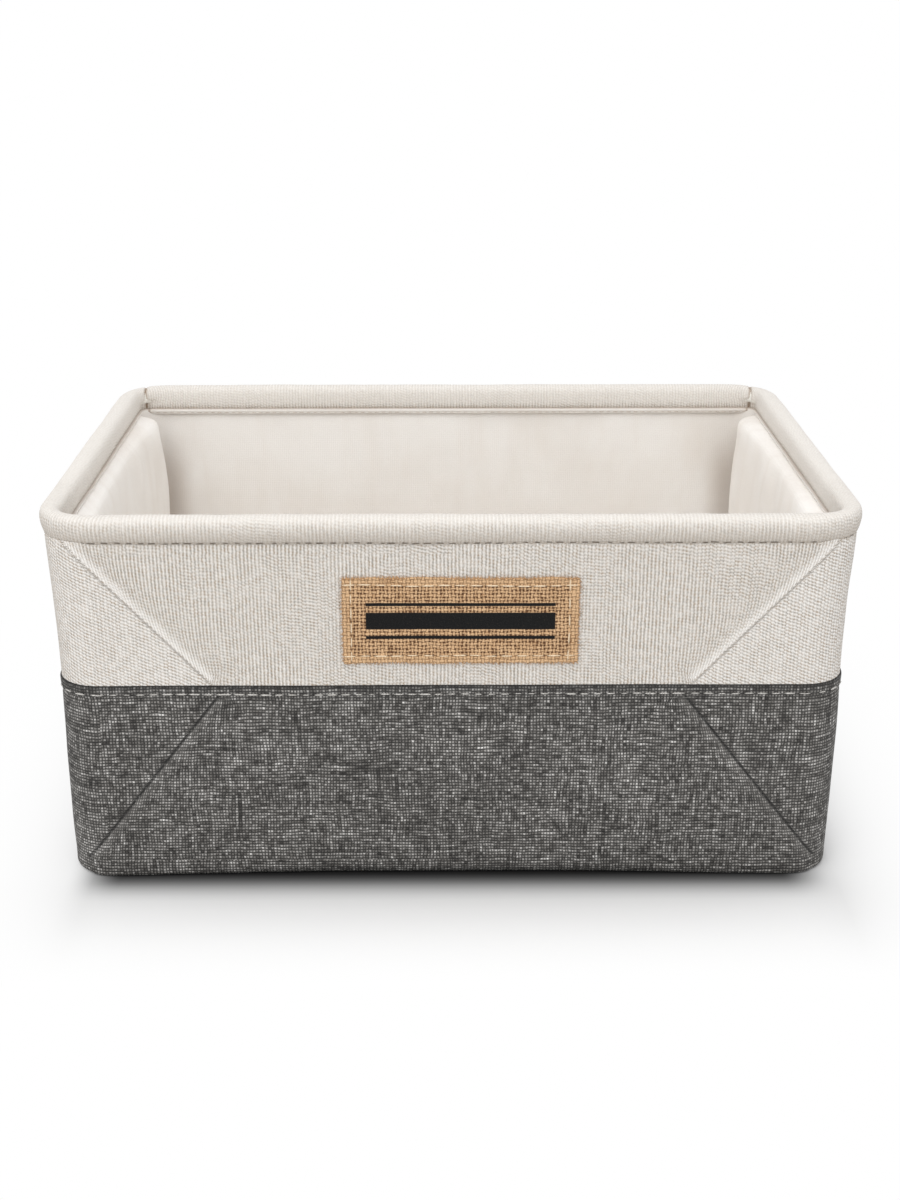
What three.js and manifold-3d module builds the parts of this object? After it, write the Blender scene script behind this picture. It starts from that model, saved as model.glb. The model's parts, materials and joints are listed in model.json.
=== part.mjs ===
// Foldable fabric storage box: a stiff base, four walls that crease inward at half height, a wired rim roll.
// Millimetres, +Z up, long side along X, front face towards -Y, origin at the middle of the underside.
import * as THREE from 'three';
import { mergeVertices } from 'three/addons/utils/BufferGeometryUtils.js';
import Module from 'manifold-3d';

const wasm = await Module();
wasm.setup();

// Overall size, measured over the rim roll
const boxLength = 380;
const boxDepth = 260;
const boxHeight = 184;

// Layers of a wall, from the outside in
const coverThickness = 0.7;
const boardThickness = 1.5;
const liningThickness = 0.5;
const layerGap = 0.15;
const boardEdgeMargin = 0.8;
const wallInset = 4.8;
const wallCornerRadius = 20;

// Layers of the base and of the loose insert that lies in it, from the underside up
const floorCoverThickness = 1;
const floorBoardThickness = 2;
const floorBoardMargin = 3.4;
const floorLiningThickness = 0.6;
const floorGap = 0.2;
const insertCoverThickness = 0.6;
const insertBoardThickness = 3;
const insertRimClearance = 3;
const insertCornerRadius = 14;

// Hinge lines and creases
const baseHingeHeight = 10;
const sideHingeRise = 12.25;
const creaseGap = 0.3;
const hemGap = 0.3;
const cornerGap = 0.3;

// Diagonal creases on the front and back walls
const creaseApexInset = 80;
const lowerCreaseFootInset = 10;
const lowerCreaseFootHeight = 10;
const upperCreaseHeadInset = 10;
const upperCreaseHeadDrop = 9;
const apexReliefHeight = 22;

// Rim roll, with foam round a wire whose ends meet in a crimped sleeve at the back
const rollRadius = 5.5;
const rollCornerRadius = 29;
const rollCoverThickness = 0.7;
const rollSlitDegrees = 24;
const paddingGap = 0.2;
const paddingBoreRadius = 2.8;
const wireRadius = 1.5;
const wireEndGap = 1;
const sleeveLength = 24;
const sleeveRadius = 2.4;
const sleeveBoreRadius = 1.8;

// Grey hem that laps over the foot of the upper covers, and the sewn-on patch
const seamHemHeight = 6.5;
const patchWidth = 108;
const patchHeight = 42;
const patchThickness = 0.8;
const patchCentreX = 4;

// Facets
const cornerSteps = 7;
const rollSteps = 14;
const wireSides = 8;
const sleeveSides = 16;
const cutOverrun = 5;

// Derived sizes
const halfLength = boxLength / 2;
const halfDepth = boxDepth / 2;
const wallThickness = coverThickness + boardThickness + liningThickness + 2 * layerGap;
const wireHeight = boxHeight - rollRadius;
const creaseHeight = (baseHingeHeight + wireHeight) / 2;
const sideHingeHeight = baseHingeHeight + sideHingeRise;
const hemFoot = wireHeight - sideHingeRise + hemGap;
const upperPanelTop = hemFoot - hemGap;
const sidePanelTop = upperPanelTop - creaseGap / 2;
const lowerPanelFoot = baseHingeHeight + creaseGap / 2;
const lowerPanelTop = creaseHeight - creaseGap / 2;
const upperPanelFoot = creaseHeight + creaseGap / 2;
const seamHeight = upperPanelFoot + seamHemHeight;
const patchCentreHeight = (seamHeight + hemFoot) / 2;
const panelHalfX = halfLength - wallInset - wallCornerRadius - cornerGap / 2;
const panelHalfY = halfDepth - wallInset - wallCornerRadius - cornerGap / 2;
const creaseApexX = halfLength - creaseApexInset;

// Finishes
const creamCanvas = { color: 0xe2ddd7, roughness: 0.95, metalness: 0 };
const greyLinen = { color: 0x57534f, roughness: 0.95, metalness: 0 };
const whiteLining = { color: 0xe8e0d8, roughness: 0.9, metalness: 0 };
const greyBoard = { color: 0xa89a86, roughness: 0.9, metalness: 0 };
const burlap = { color: 0xcda06e, roughness: 1, metalness: 0 };
const foam = { color: 0xf4f2ec, roughness: 1, metalness: 0 };
const springSteel = { color: 0xb4b6b8, roughness: 0.35, metalness: 1 };

const box = new THREE.Group();

function addMesh(parent, name, geometry, finish) {
  const mesh = new THREE.Mesh(geometry, new THREE.MeshStandardMaterial(finish));
  mesh.name = name;
  parent.add(mesh);
  return mesh;
}

function toSolid(geometry) {
  const plain = geometry.clone();
  plain.deleteAttribute('normal');
  plain.deleteAttribute('uv');
  const merged = mergeVertices(plain);
  return new wasm.Manifold(new wasm.Mesh({
    numProp: 3,
    vertProperties: new Float32Array(merged.attributes.position.array),
    triVerts: new Uint32Array(merged.index.array),
  }));
}

function toGeometry(solid) {
  const mesh = solid.getMesh();
  const geometry = new THREE.BufferGeometry();
  geometry.setAttribute('position', new THREE.BufferAttribute(mesh.vertProperties, mesh.numProp));
  geometry.setIndex(new THREE.BufferAttribute(mesh.triVerts, 1));
  geometry.computeVertexNormals();
  return geometry;
}

// A rounded rectangle centred on the origin
function roundedShape(halfX, halfY, radius) {
  const shape = new THREE.Shape();
  shape.moveTo(halfX, -halfY + radius);
  shape.lineTo(halfX, halfY - radius);
  shape.absarc(halfX - radius, halfY - radius, radius, 0, Math.PI / 2);
  shape.lineTo(-halfX + radius, halfY);
  shape.absarc(-halfX + radius, halfY - radius, radius, Math.PI / 2, Math.PI);
  shape.lineTo(-halfX, -halfY + radius);
  shape.absarc(-halfX + radius, -halfY + radius, radius, Math.PI, Math.PI * 3 / 2);
  shape.lineTo(halfX - radius, -halfY);
  shape.absarc(halfX - radius, -halfY + radius, radius, -Math.PI / 2, 0);
  return shape;
}

// A flat plate of the given outline that lies between two heights
function plate(shape, foot, top) {
  const geometry = new THREE.ExtrudeGeometry(shape, {
    depth: top - foot,
    bevelEnabled: false,
    curveSegments: cornerSteps,
  });
  return geometry.translate(0, 0, foot);
}

// An upright layer of a wall: the outline is in wall length and height, the depths are insets from the rim
function uprightLayer(points, outerInset, thickness, wallDistance) {
  const shape = new THREE.Shape(points.map(([x, z]) => new THREE.Vector2(x, z)));
  const geometry = new THREE.ExtrudeGeometry(shape, { depth: thickness, bevelEnabled: false });
  geometry.rotateX(Math.PI / 2);
  return geometry.translate(0, outerInset + thickness - wallDistance, 0);
}

// Stations round one corner of a loop: a place and the outward direction there
function cornerStations(halfX, halfY, radius, signX, signY, startAngle) {
  const stations = [];
  for (let step = 0; step <= cornerSteps; step += 1) {
    const angle = startAngle + (Math.PI / 2) * (step / cornerSteps);
    const outward = new THREE.Vector2(Math.cos(angle), Math.sin(angle));
    const centre = new THREE.Vector2(signX * (halfX - radius), signY * (halfY - radius));
    stations.push({ place: centre.addScaledVector(outward, radius), outward });
  }
  return stations;
}

// A run round the box from the middle of the back, anticlockwise from above
function loopStations(halfX, halfY, radius) {
  return [
    ...cornerStations(halfX, halfY, radius, -1, 1, Math.PI / 2),
    ...cornerStations(halfX, halfY, radius, -1, -1, Math.PI),
    ...cornerStations(halfX, halfY, radius, 1, -1, Math.PI * 3 / 2),
    ...cornerStations(halfX, halfY, radius, 1, 1, 0),
  ];
}

// Sweeps a section, given as outward and upward offsets, along stations at one height
function sweep(stations, section, height, closed) {
  const positions = [];
  for (const { place, outward } of stations) {
    for (const [out, up] of section) {
      positions.push(place.x + outward.x * out, place.y + outward.y * out, height + up);
    }
  }
  const count = section.length;
  const index = [];
  const spans = closed ? stations.length : stations.length - 1;
  for (let span = 0; span < spans; span += 1) {
    const here = span * count;
    const next = ((span + 1) % stations.length) * count;
    for (let side = 0; side < count; side += 1) {
      const turn = (side + 1) % count;
      index.push(here + side, next + turn, next + side);
      index.push(here + side, here + turn, next + turn);
    }
  }
  if (!closed) {
    const last = (stations.length - 1) * count;
    for (let side = 1; side < count - 1; side += 1) {
      index.push(0, side + 1, side);
      index.push(last, last + side, last + side + 1);
    }
  }
  const geometry = new THREE.BufferGeometry();
  geometry.setAttribute('position', new THREE.Float32BufferAttribute(positions, 3));
  geometry.setIndex(index);
  geometry.computeVertexNormals();
  return geometry;
}

function circleSection(radius, sides) {
  const section = [];
  for (let side = 0; side < sides; side += 1) {
    const angle = -2 * Math.PI * side / sides;
    section.push([radius * Math.cos(angle), radius * Math.sin(angle)]);
  }
  return section;
}

// A tube section that is slit along its underside, as sewn fabric and split foam are
function slitSection(outerRadius, innerRadius, slitDegrees) {
  const slit = THREE.MathUtils.degToRad(slitDegrees);
  const start = -Math.PI / 2 - slit / 2;
  const sweepAngle = 2 * Math.PI - slit;
  const outer = [];
  const inner = [];
  for (let step = 0; step <= rollSteps; step += 1) {
    const angle = start - sweepAngle * (step / rollSteps);
    outer.push([outerRadius * Math.cos(angle), outerRadius * Math.sin(angle)]);
    inner.unshift([innerRadius * Math.cos(angle), innerRadius * Math.sin(angle)]);
  }
  return [...outer, ...inner];
}

// Base: fabric tray with a low upstand that rises along the short sides, board and lining on its floor
function buildBase() {
  const outerX = halfLength - wallInset;
  const outerY = halfDepth - wallInset;
  const outline = roundedShape(outerX, outerY, wallCornerRadius);
  const pocketRadius = wallCornerRadius - coverThickness;
  const pocket = roundedShape(outerX - coverThickness, outerY - coverThickness, pocketRadius);
  const trayTop = baseHingeHeight - hemGap;
  const tray = toSolid(plate(outline, 0, trayTop));
  const hollow = toSolid(plate(pocket, floorCoverThickness, trayTop + cutOverrun));
  const riserTop = sideHingeHeight - creaseGap / 2;
  const risers = [-1, 1].map((side) => {
    const riser = new THREE.BoxGeometry(coverThickness, 2 * panelHalfY, riserTop);
    return toSolid(riser.translate(side * (outerX - coverThickness / 2), 0, riserTop / 2));
  });
  const shell = tray.subtract(hollow).add(risers[0]).add(risers[1]);
  addMesh(box, 'base_cover', toGeometry(shell), greyLinen);

  const innerX = outerX - coverThickness - hemGap;
  const innerY = outerY - coverThickness - hemGap;
  const innerOutline = roundedShape(innerX, innerY, pocketRadius - hemGap);
  const boardFoot = floorCoverThickness + floorGap;
  const liningFoot = boardFoot + floorBoardThickness + floorGap;
  const liningTop = liningFoot + floorLiningThickness;
  const boardX = innerX - floorBoardMargin;
  const boardY = innerY - floorBoardMargin;
  const boardOutline = roundedShape(boardX, boardY, pocketRadius - hemGap - floorBoardMargin);
  addMesh(box, 'base_board', plate(boardOutline, boardFoot, boardFoot + floorBoardThickness), greyBoard);
  addMesh(box, 'base_lining', plate(innerOutline, liningFoot, liningTop), whiteLining);
  return liningTop;
}

// Loose insert: a board in a fabric sleeve that is open at its left end
function buildInsert(floorTop) {
  const foot = floorTop + floorGap;
  const boardFoot = foot + insertCoverThickness + floorGap;
  const boardTop = boardFoot + insertBoardThickness;
  const top = boardTop + floorGap + insertCoverThickness;
  const halfX = halfLength - 2 * rollRadius - insertRimClearance;
  const halfY = halfDepth - 2 * rollRadius - insertRimClearance;
  const pocketX = halfX - insertCoverThickness;
  const pocketY = halfY - insertCoverThickness;
  const pocketRadius = insertCornerRadius - insertCoverThickness;
  const sleeve = toSolid(plate(roundedShape(halfX, halfY, insertCornerRadius), foot, top));
  const pocketShape = roundedShape(pocketX, pocketY, pocketRadius);
  const pocket = toSolid(plate(pocketShape, boardFoot - floorGap, boardTop + floorGap));
  const mouth = pocket.translate([-2 * insertCornerRadius, 0, 0]);
  addMesh(box, 'insert_cover', toGeometry(sleeve.subtract(pocket).subtract(mouth)), whiteLining);
  const boardShape = roundedShape(pocketX - floorGap, pocketY - floorGap, pocketRadius - floorGap);
  addMesh(box, 'insert_board', plate(boardShape, boardFoot, boardTop), greyBoard);
}

// The corner end of a diagonal crease, below or above the half-height crease
function creaseCorner(lower) {
  return {
    x: halfLength - (lower ? lowerCreaseFootInset : upperCreaseHeadInset),
    height: lower ? lowerCreaseFootHeight : boxHeight - upperCreaseHeadDrop,
  };
}

// How far a diagonal crease stands from the middle of the wall at a height
function creaseReach(lower, height) {
  const corner = creaseCorner(lower);
  return creaseApexX + (corner.x - creaseApexX) * (height - creaseHeight) / (corner.height - creaseHeight);
}

// The height at which a diagonal crease meets the end of the flat part of the wall
function creaseEndHeight(lower) {
  const corner = creaseCorner(lower);
  const share = (panelHalfX - creaseApexX) / (corner.x - creaseApexX);
  return creaseHeight + (corner.height - creaseHeight) * share;
}

// Half outlines of a long wall's board-backed panel and of the soft gusset beside it, for x above zero
function longWallEdge(lower, margin) {
  const direction = lower ? -1 : 1;
  const apexX = creaseApexX - margin;
  const crease = creaseHeight + direction * (creaseGap / 2 + margin);
  const relief = creaseHeight + direction * (apexReliefHeight + margin);
  const end = creaseEndHeight(lower) + direction * margin;
  const foot = lower ? lowerPanelFoot + margin : upperPanelTop - margin;
  return [
    [panelHalfX - margin, foot],
    [panelHalfX - margin, end],
    [creaseReach(lower, relief) - margin, relief],
    [apexX, relief],
    [apexX, crease],
  ];
}

function longWallPanel(lower, margin) {
  const edge = longWallEdge(lower, margin);
  const mirrored = edge.map(([x, z]) => [-x, z]).reverse();
  return [...edge, ...mirrored];
}

function gussetOutline(lower, side) {
  const direction = lower ? -1 : 1;
  const apexX = creaseApexX + creaseGap;
  const crease = creaseHeight + direction * creaseGap / 2;
  const relief = creaseHeight + direction * (apexReliefHeight - creaseGap);
  const end = creaseEndHeight(lower) - direction * creaseGap;
  return [
    [side * panelHalfX, crease],
    [side * panelHalfX, end],
    [side * (creaseReach(lower, relief) + creaseGap), relief],
    [side * apexX, relief],
    [side * apexX, crease],
  ];
}

function shortWallPanel(lower, margin) {
  const foot = lower ? sideHingeHeight + creaseGap / 2 + margin : upperPanelFoot + margin;
  const top = lower ? lowerPanelTop - margin : sidePanelTop - margin;
  const half = panelHalfY - margin;
  return [[-half, foot], [half, foot], [half, top], [-half, top]];
}

// An outline that reaches down to the crease, cut off just above the colour seam
function aboveSeam(points) {
  return points.map(([x, z]) => [x, Math.max(z, seamHeight + hemGap)]);
}

function seamHemOutline(half) {
  return [[-half, upperPanelFoot], [half, upperPanelFoot], [half, seamHeight], [-half, seamHeight]];
}

// One wall: cover, board and lining of its lower and upper panels, and the grey hem over the crease
function buildWall(name, turn, wallDistance, isLong) {
  const wall = new THREE.Group();
  wall.rotation.z = turn;
  box.add(wall);
  const outline = isLong ? longWallPanel : shortWallPanel;
  const boardInset = wallInset + coverThickness + layerGap;
  const liningInset = boardInset + boardThickness + layerGap;
  for (const lower of [true, false]) {
    const half = `${name}_${lower ? 'lower' : 'upper'}`;
    const face = outline(lower, 0);
    const coverOutline = lower ? face : aboveSeam(face);
    const cover = uprightLayer(coverOutline, wallInset, coverThickness, wallDistance);
    const board = uprightLayer(outline(lower, boardEdgeMargin), boardInset, boardThickness, wallDistance);
    const lining = uprightLayer(face, liningInset, liningThickness, wallDistance);
    addMesh(wall, `${half}_cover`, cover, lower ? greyLinen : creamCanvas);
    addMesh(wall, `${half}_board`, board, greyBoard);
    addMesh(wall, `${half}_lining`, lining, whiteLining);
  }
  const hemHalf = isLong ? creaseApexX : panelHalfY;
  const hem = uprightLayer(seamHemOutline(hemHalf), wallInset, coverThickness, wallDistance);
  addMesh(wall, `${name}_seam_hem`, hem, greyLinen);
  return wall;
}

// The soft corner triangles of a long wall, which fold back on its outer face
function buildGussets(wall, name, wallDistance, sideNames) {
  for (const lower of [true, false]) {
    for (const side of [-1, 1]) {
      const level = lower ? 'lower' : 'upper';
      const geometry = uprightLayer(gussetOutline(lower, side), wallInset, wallThickness, wallDistance);
      const sideName = side < 0 ? sideNames[0] : sideNames[1];
      addMesh(wall, `${name}_${sideName}_gusset_${level}`, geometry, lower ? greyLinen : creamCanvas);
    }
  }
}

// Rounded fabric corners: the lower ones stand on the base, the upper ones hang from the rim
function buildCorners() {
  const outer = wallCornerRadius;
  const inner = wallCornerRadius - wallThickness;
  const centreX = halfLength - wallInset - wallCornerRadius;
  const centreY = halfDepth - wallInset - wallCornerRadius;
  for (const [sideX, sideY, turn] of [[1, 1, 0], [-1, 1, 1], [-1, -1, 2], [1, -1, 3]]) {
    const shape = new THREE.Shape();
    const start = turn * Math.PI / 2;
    shape.absarc(0, 0, outer, start, start + Math.PI / 2, false);
    shape.absarc(0, 0, inner, start + Math.PI / 2, start, true);
    const name = `${sideY < 0 ? 'front' : 'back'}_${sideX < 0 ? 'left' : 'right'}_corner`;
    const lower = plate(shape, lowerPanelFoot, lowerPanelTop);
    const upper = plate(shape, upperPanelFoot, upperPanelTop);
    const place = [sideX * centreX, sideY * centreY, 0];
    addMesh(box, `${name}_lower`, lower.translate(...place), greyLinen);
    addMesh(box, `${name}_upper`, upper.translate(...place), creamCanvas);
  }
}

// Rim: sewn roll, split foam, the wire and its crimped sleeve, and the hem that joins the roll to the walls
function buildRim() {
  const wireHalfX = halfLength - rollRadius;
  const wireHalfY = halfDepth - rollRadius;
  const wireCorner = rollCornerRadius - rollRadius;
  const stations = loopStations(wireHalfX, wireHalfY, wireCorner);
  const coverInner = rollRadius - rollCoverThickness;
  const rollSection = slitSection(rollRadius, coverInner, rollSlitDegrees);
  const foamSection = slitSection(coverInner - paddingGap, paddingBoreRadius, rollSlitDegrees);
  addMesh(box, 'rim_cover', sweep(stations, rollSection, wireHeight, true), creamCanvas);
  addMesh(box, 'rim_padding', sweep(stations, foamSection, wireHeight, true), foam);

  const outward = new THREE.Vector2(0, 1);
  const wireStart = { place: new THREE.Vector2(-wireEndGap / 2, wireHalfY), outward };
  const wireEnd = { place: new THREE.Vector2(wireEndGap / 2, wireHalfY), outward };
  const wireStations = [wireStart, ...stations, wireEnd];
  const wire = sweep(wireStations, circleSection(wireRadius, wireSides), wireHeight, false);
  addMesh(box, 'rim_wire', wire, springSteel);

  const sleeveProfile = [
    [sleeveBoreRadius, -sleeveLength / 2],
    [sleeveRadius, -sleeveLength / 2],
    [sleeveRadius, sleeveLength / 2],
    [sleeveBoreRadius, sleeveLength / 2],
    [sleeveBoreRadius, -sleeveLength / 2],
  ];
  const sleeveGeometry = new THREE.LatheGeometry(
    sleeveProfile.map(([radius, along]) => new THREE.Vector2(radius, along)),
    sleeveSides,
  );
  const sleeve = addMesh(box, 'rim_wire_sleeve', sleeveGeometry, springSteel);
  sleeve.rotation.z = Math.PI / 2;
  sleeve.position.set(0, wireHalfY, wireHeight);

  const hemTop = wireHeight - rollRadius - hemGap;
  const wallHalfX = halfLength - wallInset;
  const wallHalfY = halfDepth - wallInset;
  const hemSection = [
    [0, hemFoot - wireHeight],
    [-coverThickness, hemFoot - wireHeight],
    [-coverThickness, hemTop - wireHeight],
    [0, hemTop - wireHeight],
  ];
  const hemStations = loopStations(wallHalfX, wallHalfY, wallCornerRadius);
  addMesh(box, 'rim_hem', sweep(hemStations, hemSection, wireHeight, true), creamCanvas);
}

// The patch lies on the outer face of the front wall's upper panel
function buildPatch() {
  const patch = new THREE.BoxGeometry(patchWidth, patchThickness, patchHeight);
  const mesh = addMesh(box, 'label_patch', patch, burlap);
  const faceY = -halfDepth + wallInset;
  const centreY = faceY - layerGap - patchThickness / 2;
  mesh.position.set(patchCentreX, centreY, patchCentreHeight);
}

const floorTop = buildBase();
buildInsert(floorTop);
const frontWall = buildWall('front', 0, halfDepth, true);
const backWall = buildWall('back', Math.PI, halfDepth, true);
buildWall('left', -Math.PI / 2, halfLength, false);
buildWall('right', Math.PI / 2, halfLength, false);
buildGussets(frontWall, 'front', halfDepth, ['left', 'right']);
buildGussets(backWall, 'back', halfDepth, ['right', 'left']);
buildCorners();
buildRim();
buildPatch();

export default box;
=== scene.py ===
# Foldable fabric storage box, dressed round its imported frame. Metres, +Z up, front face towards -Y.
import itertools
import json
import math

import bmesh
import bpy
import numpy as np
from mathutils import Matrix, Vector


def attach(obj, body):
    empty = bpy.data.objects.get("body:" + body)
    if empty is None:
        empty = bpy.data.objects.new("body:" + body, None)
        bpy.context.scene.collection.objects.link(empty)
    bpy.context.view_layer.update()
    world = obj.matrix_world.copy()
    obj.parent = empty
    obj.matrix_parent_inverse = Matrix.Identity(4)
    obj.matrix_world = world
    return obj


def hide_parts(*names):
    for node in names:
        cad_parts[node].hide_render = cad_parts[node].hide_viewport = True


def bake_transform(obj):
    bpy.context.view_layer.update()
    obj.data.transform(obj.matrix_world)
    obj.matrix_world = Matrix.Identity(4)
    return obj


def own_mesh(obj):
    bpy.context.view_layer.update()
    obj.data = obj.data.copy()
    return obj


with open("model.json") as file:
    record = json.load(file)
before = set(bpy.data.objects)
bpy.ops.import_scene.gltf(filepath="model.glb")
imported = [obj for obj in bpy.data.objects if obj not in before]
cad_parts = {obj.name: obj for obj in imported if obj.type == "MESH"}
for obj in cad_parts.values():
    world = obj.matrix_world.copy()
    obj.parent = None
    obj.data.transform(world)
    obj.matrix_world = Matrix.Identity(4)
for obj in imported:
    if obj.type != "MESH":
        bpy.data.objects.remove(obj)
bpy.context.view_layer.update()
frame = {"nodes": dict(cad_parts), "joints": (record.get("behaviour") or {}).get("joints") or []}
joints = {joint["name"]: joint for joint in frame["joints"]}


# Node kit

def operator(operation, turned=False):
    return lambda wire, *others: wire.maths(operation, *others, turned=turned)


class Wire:
    # One output of a node. Sums and products of wires add Math nodes.
    def __init__(self, bench, socket):
        self.bench, self.socket = bench, socket

    def maths(self, operation, *others, turned=False):
        values = [*others, self] if turned else [self, *others]
        return self.bench.add("ShaderNodeMath", {"operation": operation}, dict(enumerate(values)))

    __add__, __radd__ = operator("ADD"), operator("ADD", True)
    __sub__, __rsub__ = operator("SUBTRACT"), operator("SUBTRACT", True)
    __mul__, __rmul__ = operator("MULTIPLY"), operator("MULTIPLY", True)
    __truediv__, __pow__ = operator("DIVIDE"), operator("POWER")
    floor, fraction, sine, cosine, size = map(operator, ("FLOOR", "FRACT", "SINE", "COSINE", "ABSOLUTE"))
    most, least = operator("MAXIMUM"), operator("MINIMUM")

    def __neg__(self):
        return self * -1.0


class Bench:
    # A node tree under construction, a new material's own where none is given
    def __init__(self, name, tree=None):
        if tree is None:
            self.material = bpy.data.materials.new(name)
            self.material.use_nodes = True
            tree = self.material.node_tree
            self.shader = tree.nodes["Principled BSDF"]
        self.tree = tree

    def add(self, kind, settings=None, sockets=None, out=0):
        node = self.tree.nodes.new(kind)
        for key, value in (settings or {}).items():
            if key == "stops":
                self.setStops(node.color_ramp, value)
            else:
                setattr(node, key, value)
        for key, value in (sockets or {}).items():
            if isinstance(value, Wire):
                self.link(value, node.inputs[key])
            else:
                node.inputs[key].default_value = value
        return Wire(self, node.outputs[out])

    def link(self, wire, socket):
        self.tree.links.new(wire.socket, socket)

    def setStops(self, ramp, stops):
        while len(ramp.elements) < len(stops):
            ramp.elements.new(1.0)
        for element, (place, colour) in zip(ramp.elements, stops):
            element.position, element.color = place, colour

    def noise(self, vector, scale, detail=2.0, roughness=0.5):
        sockets = {"Vector": vector, "Scale": scale, "Detail": detail, "Roughness": roughness}
        return self.add("ShaderNodeTexNoise", {}, sockets)

    def speck(self, x, y, z=0.0, detail=1.0, roughness=0.5):
        # Noise by places that are scaled already
        return self.noise(self.join(x, y, z), 1.0, detail, roughness)

    def axes(self, vector):
        node = self.add("ShaderNodeSeparateXYZ", {}, {0: vector}).socket.node
        return [Wire(self, output) for output in node.outputs]

    def cut(self):
        # The flat places on a cloth, and how far along and up it they are
        uv = self.add("ShaderNodeUVMap", {"uv_map": "cut"})
        return uv, *self.axes(uv)[:2]

    def own(self):
        return self.add("ShaderNodeTexCoord", {}, {}, "Object")

    def given(self, name):
        # A number that a cloth's mesh carries at its points, 0 where it carries none
        return self.add("ShaderNodeAttribute", {"attribute_name": name}, {}, "Fac")

    def cell(self, x, y=0.0):
        return self.add("ShaderNodeTexWhiteNoise", {"noise_dimensions": "2D"}, {"Vector": self.join(x, y)})

    def join(self, x, y, z=0.0):
        return self.add("ShaderNodeCombineXYZ", {}, {0: x, 1: y, 2: z})

    def mix(self, share, first, second):
        first, second = [tone(*paint) if isinstance(paint, tuple) else paint for paint in (first, second)]
        return self.add("ShaderNodeMix", {"data_type": "RGBA"}, {0: share, 6: first, 7: second}, 2)

    def smooth(self, value, low, high):
        sockets = {0: value, 1: low, 2: high, 3: 0.0, 4: 1.0}
        return self.add("ShaderNodeMapRange", {"interpolation_type": "SMOOTHSTEP"}, sockets)

    def fade(self, value, low, high):
        return 1.0 - self.smooth(value, low, high)

    def between(self, value, low, high, soft=0.0002):
        return self.smooth(value, low - soft, low + soft) * self.fade(value, high - soft, high + soft)

    def straight(self):
        # 1 for what is seen directly, in a gloss or through something, 0 for light that falls on things
        rays = self.add("ShaderNodeLightPath").socket.node.outputs
        seen = [Wire(self, rays[f"Is {kind} Ray"]) for kind in ("Camera", "Glossy", "Transmission")]
        return seen[0].most(seen[1]).most(seen[2])

    def finish(self, colour, height=None, depth=0.0, **constants):
        for key, value in constants.items():
            self.shader.inputs[key.replace("_", " ")].default_value = value
        self.link(colour, self.shader.inputs["Base Color"])
        if height is not None:
            sockets = {"Strength": 1.0, "Distance": depth, "Height": height}
            self.link(self.add("ShaderNodeBump", {}, sockets), self.shader.inputs["Normal"])
        return self.material


def tone(*display):
    # A display colour from 0 to 255, as the linear one that sockets take
    shares = [value / 255 for value in display]
    return (*(share / 12.92 if share <= 0.04045 else ((share + 0.055) / 1.055) ** 2.4 for share in shares), 1.0)


# Cloths

# Some of these colours are painted shade: the dark line in a crease's fold, the tones on the roll above and in its
# stitched groove, its stitch holes, and the brown that places marked on a cloth's mesh take. The loose tone also lies
# along a crease's band as a painted highlight.
canvasLook = {
    "ribPitch": 0.00171, "beadPitch": 0.00166, "wander": 0.45, "slant": 0.30,
    "light": (244, 240, 235), "shade": (228, 222, 214), "tan": (158, 139, 117), "grey": (154, 147, 137),
    "loose": (254, 251, 247), "wide": (214, 206, 196), "line": (120, 104, 88), "warm": (246, 241, 234),
    "seam": (176, 164, 150), "groove": (170, 155, 138), "hole": (104, 88, 70), "worn": (146, 118, 90),
    "pressed": (0.0008, 0.0060), "bumpDepth": 0.00045,
}
rollStitch = {"pitch": 0.0054, "radius": 0.00055, "reach": 0.0011}


def creaseMarks(bench):
    # Masks along a pressed crease: its fold, for painted shade; the smooth band on its board's side, for a painted
    # highlight and a flatter weave; and the loose cloth beyond it
    far, share = bench.given("crease"), bench.given("creaseShare")
    line = bench.fade((far + 0.0001).size(), 0.0002, 0.0010)
    band = bench.smooth(far, -0.0002, 0.0006) * bench.fade(far, *canvasLook["pressed"])
    return line * share, band * share, bench.smooth(-far, 0.0, 0.002) * share


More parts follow.
